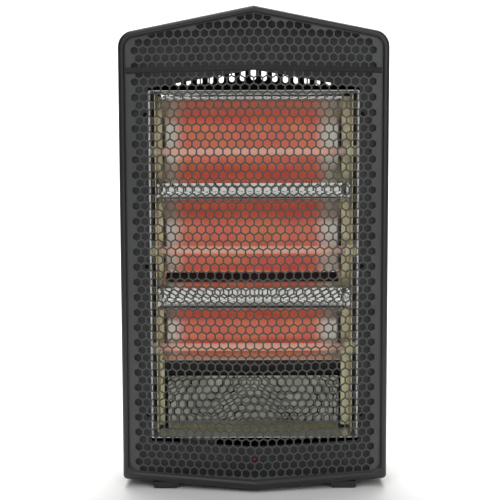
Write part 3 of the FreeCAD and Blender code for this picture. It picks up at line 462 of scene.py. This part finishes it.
def aluminised_steel(name, base, roughness):
    """Hot-dip aluminised sheet: bright metal with a faint crystalline spangle."""
    material, surface, place = start_material(name)
    set_inputs(surface, Metallic=1.0)
    spangle = add(material, "ShaderNodeTexVoronoi", {"Vector": place, "Scale": per_metre(5)})
    shade = remap(material, spangle.outputs["Color"], 0.0, 1.0, 0.82, 1.0)
    feed(material, surface, "Base Color", tint(material, base, shade))
    feed(material, surface, "Roughness", mottle(material, place, 9, roughness - 0.06, roughness + 0.08))
    grain = cloud(material, place, 1.2, 2.0)
    raise_surface(material, surface, grain, 0.02, 0.4)
    return material


def black_oxide(name, base):
    """Black-oxidised steel: a dark oiled skin with a dull metallic sheen and lighter handling marks."""
    material, surface, place = start_material(name)
    set_inputs(surface, Metallic=1.0)
    feed(material, surface, "Base Color", tint(material, base, mottle(material, place, 3, 0.8, 1.3)))
    feed(material, surface, "Roughness", mottle(material, place, 1.5, 0.4, 0.55))
    pits = cloud(material, place, 0.5, 2.0)
    raise_surface(material, surface, pits, 0.02, 0.4)
    return material


def yellow_zinc(name, base):
    """Zinc plate with a yellow chromate dip: olive gold with drifting green and rose patches."""
    material, surface, place = start_material(name)
    set_inputs(surface, Metallic=1.0)
    hue = cloud(material, place, 12, 3.0)
    ramp = add(material, "ShaderNodeValToRGB", {"Fac": hue})
    ramp.color_ramp.elements[0].position = 0.35
    ramp.color_ramp.elements[0].color = tuple(0.72 * v for v in base[:3]) + (1.0,)
    ramp.color_ramp.elements[1].position = 0.65
    ramp.color_ramp.elements[1].color = base
    feed(material, surface, "Base Color", ramp.outputs["Color"])
    feed(material, surface, "Roughness", mottle(material, place, 6, 0.36, 0.5))
    grain = cloud(material, place, 0.9, 2.0)
    raise_surface(material, surface, grain, 0.02, 0.4)
    return material


def quartz_with_painted_glow(name, glow_strength):
    """Drawn milky quartz: smooth and half clear, with the wire's light painted in as emission."""
    c = colours()
    lamps = bpy.context.scene.heater_lamps
    material, surface, place = start_material(name)
    set_inputs(surface, IOR=1.46, Roughness=0.12, Alpha=0.86)
    stretched = add(material, "ShaderNodeMapping", {"Vector": place, "Scale": (0.08, 1.0, 1.0)}).outputs[0]
    streaks = mottle(material, stretched, 1.2, 0.85, 1.0)
    feed(material, surface, "Base Color", tint(material, srgb("b0a79d"), streaks))
    # Painted glow: emission along the lit span, plus a faint glow over the whole tube, stands in for the
    # wire's light in the quartz.
    span = lit_span(material, place, lamps.glow_half + 12 * MM, lamps.glow_fade)
    light = add(material, "ShaderNodeMath", {0: span, 1: glow_strength, 2: 0.12},
                operation="MULTIPLY_ADD").outputs[0]
    feed(material, surface, "Emission Strength", light)
    surface.inputs["Emission Color"].default_value = c.tube_glow
    return material


def glowing_wire(name):
    """Oxidised iron-chromium wire at red heat: dark scale near its ends, orange light between."""
    lamps = bpy.context.scene.heater_lamps
    material, surface, place = start_material(name)
    set_inputs(surface, Roughness=0.7)
    scale = mottle(material, place, 2, 0.7, 1.2)
    feed(material, surface, "Base Color", tint(material, srgb("5a4a42"), scale))
    span = lit_span(material, place, lamps.glow_half + 10 * MM, lamps.glow_fade * 0.6)
    light = add(material, "ShaderNodeMath", {0: span, 1: 1.6}, operation="MULTIPLY").outputs[0]
    feed(material, surface, "Emission Strength", light)
    surface.inputs["Emission Color"].default_value = srgb("ff6a3c")
    return material


def pressed_steatite(name, base):
    """Dry-pressed steatite: unglazed cream ceramic with a chalky face and darker specks."""
    material, surface, place = start_material(name)
    set_inputs(surface, IOR=1.6)
    specks = cloud(material, place, 1.1, 4.0)
    shade = remap(material, specks, 0.3, 0.6, 0.86, 1.0)
    feed(material, surface, "Base Color", tint(material, base, shade))
    feed(material, surface, "Roughness", mottle(material, place, 4, 0.55, 0.7))
    raise_surface(material, surface, specks, 0.05, 0.5)
    return material


def smooth_moulding(name, base, roughness):
    """Polished-tool moulding: an even sheen with faint handling marks."""
    material, surface, place = start_material(name)
    set_inputs(surface, IOR=1.5)
    feed(material, surface, "Base Color", tint(material, base, mottle(material, place, 20, 0.92, 1.08)))
    feed(material, surface, "Roughness", mottle(material, place, 3, roughness, roughness + 0.1))
    ripple = cloud(material, place, 2.5, 2.0)
    raise_surface(material, surface, ripple, 0.02, 0.3)
    return material


def natural_rubber(name, base):
    """Cured rubber: soft black with a bloom of grey and a fine tooth."""
    material, surface, place = start_material(name)
    set_inputs(surface, IOR=1.52)
    feed(material, surface, "Base Color", tint(material, base, mottle(material, place, 5, 0.8, 1.3)))
    feed(material, surface, "Roughness", mottle(material, place, 2, 0.75, 0.9))
    tooth = cloud(material, place, 0.6, 2.0)
    raise_surface(material, surface, tooth, 0.05, 0.6)
    return material


def woven_sleeve(name, base):
    """Glass-fibre sleeving: pale braid, one crossing about every millimetre."""
    material, surface, place = start_material(name)
    set_inputs(surface, Roughness=0.8)
    weave = add(material, "ShaderNodeTexWave", {"Vector": place, "Scale": per_metre(1.0) / 20,
                                                "Distortion": 1.0}, bands_direction="DIAGONAL")
    shade = remap(material, weave.outputs["Fac"], 0.0, 1.0, 0.75, 1.0)
    feed(material, surface, "Base Color", tint(material, base, shade))
    raise_surface(material, surface, weave.outputs["Fac"], 0.1, 0.6)
    return material


def red_lens(name):
    """Tinted acrylic over the remote receiver: deep red with a small hot highlight."""
    material, surface, place = start_material(name)
    set_inputs(surface, IOR=1.49, Roughness=0.06)
    depth = mottle(material, place, 2, 0.8, 1.2)
    feed(material, surface, "Base Color", tint(material, srgb("8a2a36"), depth))
    return material


def all_finishes():
    """One finish for each material slot of the frame."""
    c = colours()
    moulding = spark_textured_abs("Spark_textured_ABS", c.moulding, 0.36)
    reflector = reflector_with_painted_glow("Bright_rolled_aluminium_painted_glow", 0.24, 0.08)
    aluminised_mirror = base_mirror("Bright_rolled_base_panel")
    plated = aluminised_steel("Bright_zinc_plated_steel", srgb("a3a5a4"), 0.32)
    return {
        "frame_plastic": moulding,
        "foot_plastic": moulding,
        "grille_paint": powder_coat("Satin_powder_coat", c.grille, 0.42, 1.1, 0.03),
        "housing_paint": powder_coat("Textured_powder_coat", c.housing, 0.6, 0.9, 0.1),
        "panel_paint": matt_heat_paint("Matt_stove_paint", c.panel),
        "shield_steel": matt_heat_paint("Matt_shield_paint", srgb("4c4c4b")),
        "pad_rubber": natural_rubber("Cured_rubber", srgb("161616")),
        "case_steel": aluminised_steel("Aluminised_steel", srgb("efefed"), 0.48),
        "mirror_aluminium": reflector,
        "panel_aluminium": aluminised_mirror,
        "black_screw": black_oxide("Black_oxide_steel", srgb("1b1c1d")),
        "zinc_plate": yellow_zinc("Yellow_passivated_zinc", c.zinc),
        "quartz_glass": quartz_with_painted_glow("Milky_quartz_painted_glow", 0.3),
        "coil_wire": glowing_wire("Red_hot_resistance_wire"),
        "cap_ceramic": pressed_steatite("Pressed_steatite", c.ceramic),
        "plated_steel": plated,
        "dark_plastic": smooth_moulding("Black_polyamide", srgb("1c1d1e"), 0.3),
        "nylon_black": smooth_moulding("Black_nylon", srgb("191a1b"), 0.4),
        "button_plastic": smooth_moulding("Grey_keycap_moulding", srgb("5c6063"), 0.38),
        "board_laminate": smooth_moulding("Glass_epoxy_laminate", srgb("24553a"), 0.35),
        "terminal_white": smooth_moulding("Cream_thermoset", srgb("dcd8cc"), 0.45),
        "lens_red": red_lens("Red_acrylic_lens"),
        "lead_sleeve": woven_sleeve("Glass_fibre_sleeving", srgb("c9c4b4")),
    }


finishes = {}


# ------------------------------------------------------------------ one operator for each piece
class HEATER_OT_finishes(bpy.types.Operator):
    """Makes every finish and puts it on the frame's own nodes"""
    bl_idname = "heater.finishes"
    bl_label = "Finishes"

    def execute(self, context):
        finishes.update(all_finishes())
        for entry in frame["record"]["subparts"]:
            node = frame["nodes"][entry["node"]]
            node.data.materials.clear()
            node.data.materials.append(finishes[entry["material_slot"]])
        return {"FINISHED"}


class HEATER_OT_front_frame(bpy.types.Operator):
    """Carries the frame's beaded section round the gabled outline"""
    bl_idname = "heater.front_frame"
    bl_label = "Front frame"

    def execute(self, context):
        s = shape()
        face, wall, skirt, depth = s.face, s.frame_wall, s.frame_skirt, s.frame_depth
        # The bead falls away on both sides, steeply outside and down to the sheet inside.
        outside = np.array([(-3.9, 3.2), (-3.8, 2.6), (-2.2, 0.6), (-1.1, 0.12), (0.0, 0.0)]) * MM
        inside = np.array([(0.0, 0.0), (0.9, 0.25), (1.6, 0.85), (2.2, 1.7), (2.7, 2.8)]) * MM
        outside[:, 0] += s.bead_outer
        inside[:, 0] += s.bead_inner
        ledge = np.array([(face, wall - 0.1 * MM)])
        back = np.array([(face, wall), (skirt, wall), (skirt, depth), (0, depth)])
        section = np.vstack([outside, inside, ledge, back])
        rings = []
        for inset, behind in section:
            share = inset / face
            outline = body_outline(inset, inset * s.face_low / face,
                                   s.top_radius + (s.inner_top_radius - s.top_radius) * share,
                                   s.low_radius + (s.inner_low_radius - s.low_radius) * share)
            rings.append(np.stack([outline[:, 0], prow(outline[:, 0], behind), outline[:, 1]], -1))
        points, faces = closed_grid(np.stack(rings, 1), wrap_rows=True)
        make_piece("Front_frame_moulding", points, faces, finishes["frame_plastic"],
                   ["front_frame"], sharp=28)
        return {"FINISHED"}


class HEATER_OT_cross_bar(bpy.types.Operator):
    """Carries a small rounded section across the grille, creased where the front is folded"""
    bl_idname = "heater.cross_bar"
    bl_label = "Cross bar"

    def execute(self, context):
        low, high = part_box("cross_bar")
        s = shape()
        rise = s.bar_rise
        tall = (high.z - low.z - rise) / 2
        middle_depth = s.bar_recess + s.bar_half_depth
        section = rounded_rectangle(s.bar_half_depth, tall, s.bar_corner, 4)
        x = np.concatenate([np.linspace(low.x, 0, 24), np.linspace(0, high.x, 24)[1:]])
        z = low.z + tall + rise * (1 - np.abs(x) / high.x)
        y = prow(x, middle_depth)
        grid = np.empty((len(x), len(section), 3))
        grid[..., 0] = x[:, None]
        grid[..., 1] = y[:, None] + section[None, :, 0]
        grid[..., 2] = z[:, None] + section[None, :, 1]
        points, faces = closed_grid(grid)
        satin = smooth_moulding("Satin_black_moulding", srgb("0c0d0d"), 0.6)
        make_piece("Cross_bar_moulding", points, faces, satin, ["cross_bar"])
        return {"FINISHED"}


def hexagons(centres, radius):
    """Corners of pointed-up hexagons: each centre plus six directions times the radius."""
    turn = np.radians(90 - 60 * np.arange(6))
    return centres[:, None, :] + radius * np.stack([np.cos(turn), np.sin(turn)], -1)[None]


class HEATER_OT_grille(bpy.types.Operator):
    """Lays hexagonal cells over the folded sheet: six quads round each hole, plain cells at the edge"""
    bl_idname = "heater.grille"
    bl_label = "Front grille"

    def execute(self, context):
        s, g = shape(), context.scene.heater_grille
        low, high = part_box("front_grille")
        lean = math.cos(s.prow_angle)
        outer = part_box("front_frame")[1]
        gable = s.gable_rise / outer.x
        chevron = s.chevron_drop / outer.x
        row_pitch = g.pitch * math.sqrt(3) / 2
        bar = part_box("cross_bar")
        first = bar[1].z - s.bar_rise + g.first_row * row_pitch
        rows_below = int((first - low.z) / row_pitch) + 3
        rows_above = int((high.z - first) / row_pitch) + 3
        rows = np.arange(-rows_below, rows_above)
        long_row = rows % 2 == 0
        count = g.long_row // 2 + 2
        steps = np.arange(-count, count + 1)
        along = steps[None, :] * g.pitch + np.where(long_row, g.pitch / 2, 0.0)[:, None]
        height = np.broadcast_to(first + rows[:, None] * row_pitch, along.shape)
        centres = np.stack([along.ravel(), height.ravel()], -1)
        edge = high.x / lean
        corner = s.top_radius - (outer.x - high.x)

        def top(a):
            x = np.abs(a) * lean
            bend = np.clip(x - high.x + corner, 0, corner)
            return high.z - gable * x - corner + np.sqrt(corner ** 2 - bend ** 2)

        def bottom(a):
            return low.z + chevron * np.abs(a) * lean

        holes = hexagons(centres, g.flats / math.sqrt(3))
        a, z = holes[..., 0], holes[..., 1]
        inside = (z < top(a) - g.land) & (z > bottom(a) + g.land) & (np.abs(a) < edge - g.land / lean)
        reach = np.abs(centres[:, 0]) < g.long_row / 2 * g.pitch
        pierced = inside.all(1) & reach
        cells = hexagons(centres, g.pitch / math.sqrt(3))
        cells[..., 0] = np.clip(cells[..., 0], -edge, edge)
        cells[..., 1] = np.clip(cells[..., 1], bottom(cells[..., 0]), top(cells[..., 0]))
        following = np.roll(cells, -1, 1)
        area = np.abs((cells[..., 0] * following[..., 1] - cells[..., 1] * following[..., 0]).sum(1)) / 2
        plain = ~pierced & (area > 0.2 * MM ** 2)
        ring, hole = cells[pierced], holes[pierced]
        quads = np.stack([ring, np.roll(ring, -1, 1), np.roll(hole, -1, 1), hole], 2).reshape(-1, 4, 2)
        corners = np.vstack([quads.reshape(-1, 2), cells[plain].reshape(-1, 2)])
        grain = 0.01 * MM
        keys, inverse = np.unique(np.round(corners / grain).astype(int), axis=0, return_inverse=True)
        inverse = inverse.ravel()
        flat = keys * grain
        quad_faces = inverse[:len(quads) * 4].reshape(-1, 4).tolist()
        plain_faces = []
        for face in inverse[len(quads) * 4:].reshape(-1, 6).tolist():
            kept = [n for k, n in enumerate(face) if n != face[k - 1]]
            if len(set(kept)) > 2:
                plain_faces.append(kept)
        x = flat[:, 0] * lean
        points = np.stack([x, low.y + np.abs(x) * math.tan(s.prow_angle), flat[:, 1]], -1)
        piece = make_piece("Pierced_grille_sheet", points, quad_faces + plain_faces,
                           finishes["grille_paint"], ["front_grille"], sharp=25)
        normal = piece.data.polygons[0].normal
        if normal.y > 0:
            piece.data.flip_normals()
        wall = piece.modifiers.new("Sheet", "SOLIDIFY")
        wall.thickness = g.sheet
        wall.offset = -1.0
        edge_round = piece.modifiers.new("Punched edge", "BEVEL")
        edge_round.width = g.rounding
        edge_round.segments = 1
        edge_round.limit_method = "ANGLE"
        edge_round.angle_limit = math.radians(70)
        return {"FINISHED"}


def smooth_rise(value, start, end):
    """Zero up to the start, one past the end, three t squared minus two t cubed between."""
    t = np.clip((value - start) / (end - start), 0, 1)
    return t * t * (3 - 2 * t)


def trough_line(node, steps=40):
    """Side view of a trough: height runs evenly in angle, depth is one minus a high power of it."""
    power = bpy.context.scene.heater_lamps.reflector_power
    low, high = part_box(node)
    return low, high, power, np.linspace(-np.pi / 2, np.pi / 2, steps + 1)


class HEATER_OT_reflectors(bpy.types.Operator):
    """Bends each reflector sheet from its trough, its lips and its flat fascia"""
    bl_idname = "heater.reflectors"
    bl_label = "Reflectors"

    def strips(self, level, low, high, bottom, top):
        """Heights between which the flat strips reach past the ends of the trough."""
        if level == "upper":
            return (low.z, bottom), (top, high.z)
        return ((low.z, bottom),) if level == "middle" else ()

    def with_strip(self, points, faces, low, high, front, strip_low, strip_high):
        """Adds the two end pieces of a flat strip: plain rectangles in the strip's own plane."""
        ends = ((low.x, points[:, 0].min()), (points[:, 0].max(), high.x))
        for start, stop in ends:
            x, z = np.meshgrid(np.linspace(start, stop, 3), np.linspace(strip_low, strip_high, 5),
                               indexing="ij")
            extra = np.stack([x, np.full_like(x, front), z], -1).reshape(-1, 3)
            faces = np.vstack([faces, grid_faces(3, 5) + len(points)])
            points = np.vstack([points, extra])
        return points, faces

    def execute(self, context):
        lamps = context.scene.heater_lamps
        gauge = lamps.gauge
        for index, level in enumerate(LEVELS):
            low, high, power, sweep = trough_line("reflector_" + level)
            fascia = lamps.fascia[index]
            bottom = low.z + fascia + (gauge if fascia == 0 else 0)
            top = high.z - gauge
            top -= lamps.top_flange if level == "upper" else 0.0
            middle, half = (top + bottom) / 2, (top - bottom) / 2
            u = np.sin(sweep)
            front, back = low.y + gauge, high.y - gauge / 2
            y = front + (back - front) * (1 - np.abs(u) ** power)
            z = middle - half * u
            if fascia:
                y = np.append(y, [front, front])
                z = np.append(z, [bottom - fascia * 0.5, low.z])
            if level == "upper":
                y = np.insert(y, 0, front)
                z = np.insert(z, 0, high.z)
            trough_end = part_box("reflector_lower")
            x = np.linspace(trough_end[0].x, trough_end[1].x, 61)
            grid = np.empty((len(x), len(z), 3))
            grid[..., 0] = x[:, None]
            grid[..., 1] = y[None]
            grid[..., 2] = z[None]
            faces = grid_faces(len(x), len(z))
            if level == "middle":
                # The cooling slot runs along the foot of the trough.
                foot = grid.reshape(-1, 3)[faces].mean(1)
                slot_low = bottom + lamps.slot_above_lip
                margin = lamps.slot_end_margin
                in_slot = (foot[:, 2] > slot_low) & (foot[:, 2] < slot_low + lamps.slot_height)
                in_slot &= foot[:, 1] > front + lamps.slot_behind_lip
                in_slot &= (foot[:, 0] > x[0] + margin) & (foot[:, 0] < x[-1] - margin)
                faces = faces[~in_slot]
            points = grid.reshape(-1, 3)
            for strip_low, strip_high in self.strips(level, low, high, bottom, top):
                points, faces = self.with_strip(points, faces, low, high, front, strip_low, strip_high)
            piece = make_piece("Reflector_sheet_" + level, points, faces.tolist(),
                               finishes["mirror_aluminium"],
                               ["reflector_" + level], sharp=40)
            # The lit mask places the painted reflection of the wire: inside the trough, along the lit span,
            # clear of the unlit foot and head.
            foot_z = bottom + lamps.unlit[index]
            head = lamps.unlit_head[index]
            deep = smooth_rise(points[:, 1], front + lamps.curl_start, front + lamps.curl_end)
            along = np.abs(points[:, 0] - lamps.glow_middle)
            lit = deep * smooth_rise(lamps.glow_half - along, 0, lamps.glow_fade)
            lit *= smooth_rise(points[:, 2], foot_z - 1 * MM, foot_z + 2 * MM)
            lit *= smooth_rise(top - points[:, 2], 0.4 * head, 1.3 * head)
            piece.data.attributes.new("lit", "FLOAT", "POINT").data.foreach_set("value", lit)
            piece.data.attributes.new("deep", "FLOAT", "POINT").data.foreach_set("value", deep)
            wall = piece.modifiers.new("Sheet", "SOLIDIFY")
            wall.thickness = gauge
            wall.offset = 0.0
        return {"FINISHED"}


def tube_along(centre_line, radii, sides):
    """Rings round a line that runs along X: each point plus its radius times a turning direction."""
    turn = np.linspace(0, 2 * np.pi, sides, endpoint=False)
    grid = np.empty((len(centre_line), sides, 3))
    grid[..., 0] = centre_line[:, :1]
    grid[..., 1] = centre_line[:, 1:2] + radii[:, None] * np.cos(turn)
    grid[..., 2] = centre_line[:, 2:] + radii[:, None] * np.sin(turn)
    return grid


class HEATER_OT_quartz_tubes(bpy.types.Operator):
    """Draws each quartz tube as one skin, out along the outside and back through the bore"""
    bl_idname = "heater.quartz_tubes"
    bl_label = "Quartz tubes"

    def execute(self, context):
        lamps = context.scene.heater_lamps
        for level in LEVELS:
            low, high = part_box("quartz_tube_" + level)
            y, z = (low.y + high.y) / 2, (low.z + high.z) / 2
            radius = (high.z - low.z) / 2
            count, lip = 30, 0.3 * MM
            out = np.linspace(low.x, high.x, count)
            x = np.concatenate([[low.x], out[1:-1], [high.x], [high.x], out[1:-1][::-1], [low.x]])
            x[0] += lip
            x[count - 1] -= lip
            r = np.concatenate([np.full(count, radius), np.full(count, radius - lamps.tube_wall)])
            line = np.stack([x, np.full_like(x, y), np.full_like(x, z)], -1)
            points, faces = closed_grid(tube_along(line, r, 32), wrap_rows=True)
            make_piece("Quartz_tube_drawn_" + level, points, faces, finishes["quartz_glass"],
                       ["quartz_tube_" + level], sharp=50)
        return {"FINISHED"}


class HEATER_OT_coils(bpy.types.Operator):
    """Winds each heating wire: a small circle carried along a helix round the tube's axis"""
    bl_idname = "heater.coils"
    bl_label = "Heating coils"

    def execute(self, context):
        lamps = context.scene.heater_lamps
        for level in LEVELS:
            low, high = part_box("heating_coil_" + level)
            y, z = (low.y + high.y) / 2, (low.z + high.z) / 2
            wire = lamps.wire_radius
            span = high.x - low.x - 2 * wire
            turns = span / lamps.coil_pitch
            t = np.linspace(0, turns * 2 * np.pi, int(turns * 14))
            across = np.array([0 * t, np.cos(t), np.sin(t)]).T
            centre = across * lamps.coil_radius
            centre[:, 0] = low.x + wire + span * t / t[-1]
            centre[:, 1] += y
            centre[:, 2] += z
            around = np.linspace(0, 2 * np.pi, 6, endpoint=False)
            ring = np.cos(around)[None, :, None] * across[:, None, :]
            ring = ring + np.sin(around)[None, :, None] * np.array([1.0, 0, 0])
            points, faces = closed_grid(centre[:, None, :] + wire * ring)
            make_piece("Wound_wire_" + level, points, faces, finishes["coil_wire"],
                       ["heating_coil_" + level], sharp=80)
        return {"FINISHED"}


class HEATER_OT_lens(bpy.types.Operator):
    """Turns the lens about its axis: a flange, then a half sphere whose height is its radius"""
    bl_idname = "heater.lens"
    bl_label = "Receiver lens"

    def execute(self, context):
        low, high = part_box("receiver_lens")
        flange, radius, thick = (high.x - low.x) / 2, shape().lens_radius, shape().lens_flange
        corner = 0.2 * MM
        turn = np.linspace(0, np.pi / 2, 12, endpoint=False)
        back = high.y
        reach = np.concatenate([[flange - corner, flange, flange, flange - corner, radius],
                                radius * np.cos(turn)])
        along = np.concatenate([[back, back - corner, back - thick + corner, back - thick, back - thick],
                                low.y + radius - radius * np.sin(turn)])
        around = np.linspace(0, 2 * np.pi, 32, endpoint=False)
        grid = np.empty((len(reach), len(around), 3))
        grid[..., 0] = (low.x + high.x) / 2 + reach[:, None] * np.cos(around)
        grid[..., 1] = along[:, None]
        grid[..., 2] = (low.z + high.z) / 2 + reach[:, None] * np.sin(around)
        points, faces = closed_grid(grid)
        make_piece("Receiver_lens_dome", points, faces, finishes["lens_red"], ["receiver_lens"],
                   sharp=40)
        return {"FINISHED"}


class HEATER_OT_stage(bpy.types.Operator):
    """Pale floor that sweeps up behind, soft lights and the camera"""
    bl_idname = "heater.stage"
    bl_label = "Stage"

    def execute(self, context):
        material, surface, place = start_material("Matt_studio_paper")
        set_inputs(surface, Roughness=0.95)
        surface.inputs["Specular IOR Level"].default_value = 0.0
        paper = tint(material, colours().floor, mottle(material, place, 300, 0.99, 1.0))
        feed(material, surface, "Base Color", paper)
        reach, back, radius = 5.0, 2.6, 1.0
        bend = np.linspace(0, np.pi / 2, 16)
        y = np.concatenate([[-reach], back - radius + radius * np.sin(bend), [back]])
        z = np.concatenate([[0.0], radius - radius * np.cos(bend), [reach]])
        # The floor is wide; the part that rises behind is only as wide as the view needs.
        y = np.insert(y, 1, back - radius - 0.1)
        z = np.insert(z, 1, 0.0)
        half = np.where(y < back - radius, reach, 1.5)
        x = np.array([-1.0, 1.0])[:, None] * half[None]
        grid = np.stack(np.broadcast_arrays(x, y[None], z[None]), -1)
        mesh = bpy.data.meshes.new("Studio_sweep")
        mesh.from_pydata(grid.reshape(-1, 3).tolist(), [], grid_faces(2, len(y)).tolist())
        mesh.polygons.foreach_set("use_smooth", np.ones(len(mesh.polygons), bool))
        mesh.materials.append(material)
        sweep = bpy.data.objects.new("Studio_sweep", mesh)
        context.scene.collection.objects.link(sweep)
        self.lights(context)
        self.camera(context)
        context.scene.view_settings.view_transform = "Standard"
        return {"FINISHED"}

    def lights(self, context):
        world = bpy.data.worlds.new("Studio")
        world.use_nodes = True
        world.node_tree.nodes["Background"].inputs["Color"].default_value = (1.0, 1.0, 1.0, 1.0)
        world.node_tree.nodes["Background"].inputs["Strength"].default_value = 0.12
        context.scene.world = world
        boxes = (("Key", (-1.1, -2.2, 2.2), 1.4, 20.0), ("Fill", (1.5, -2.2, 1.3), 1.4, 12.0),
                 ("Front", (0.0, -3.0, 0.9), 2.4, 13.0), ("Overhead", (0.0, -0.6, 2.7), 1.8, 14.0),
                 ("Sweep", (0.0, 1.2, 2.6), 2.2, 110.0))
        for name, place, size, power in boxes:
            light = bpy.data.lights.new(name, "AREA")
            light.size = size
            light.energy = power
            lamp = bpy.data.objects.new(name, light)
            lamp.location = place
            target = np.array([0.0, 1.6, 0.5]) if name == "Sweep" else np.array([0.0, 0.0, 0.3])
            aim = target - np.array(place)
            lamp.rotation_euler = (math.atan2(math.hypot(aim[0], aim[1]), -aim[2]), 0.0,
                                   math.atan2(aim[1], aim[0]) - math.pi / 2)
            context.scene.collection.objects.link(lamp)

    def camera(self, context):
        data = bpy.data.cameras.new("Camera")
        data.sensor_width = 36.0
        data.lens = 75.07
        camera = bpy.data.objects.new("Camera", data)
        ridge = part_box("front_frame")[0].y
        camera.location = (-0.0049, ridge - 1.2665, 0.4124)
        camera.rotation_euler = (math.pi / 2 - 0.0851, 0.003, 0.0)
        context.scene.collection.objects.link(camera)
        context.scene.camera = camera


class HEATER_PT_panel(bpy.types.Panel):
    bl_idname = "HEATER_PT_panel"
    bl_label = "Heater"
    bl_space_type = "VIEW_3D"
    bl_region_type = "UI"
    bl_category = "Heater"

    def draw(self, context):
        for operator in PIECES:
            self.layout.operator(operator.bl_idname)


GROUPS = (BodyShape, GrilleShape, LampShape, HeaterColours)
PIECES = (HEATER_OT_finishes, HEATER_OT_front_frame, HEATER_OT_cross_bar, HEATER_OT_grille,
          HEATER_OT_reflectors, HEATER_OT_quartz_tubes, HEATER_OT_coils, HEATER_OT_lens, HEATER_OT_stage)
CLASSES = GROUPS + PIECES + (HEATER_PT_panel,)


def register():
    for cls in CLASSES:
        bpy.utils.register_class(cls)
    bpy.types.Scene.heater_body = PointerProperty(type=BodyShape)
    bpy.types.Scene.heater_grille = PointerProperty(type=GrilleShape)
    bpy.types.Scene.heater_lamps = PointerProperty(type=LampShape)
    bpy.types.Scene.heater_colours = PointerProperty(type=HeaterColours)


def unregister():
    for name in ("heater_body", "heater_grille", "heater_lamps", "heater_colours"):
        delattr(bpy.types.Scene, name)
    for cls in reversed(CLASSES):
        bpy.utils.unregister_class(cls)


def main():
    register()
    for piece in PIECES:
        group, name = piece.bl_idname.split(".")
        getattr(getattr(bpy.ops, group), name)()


if __name__ == "__main__":
    main()
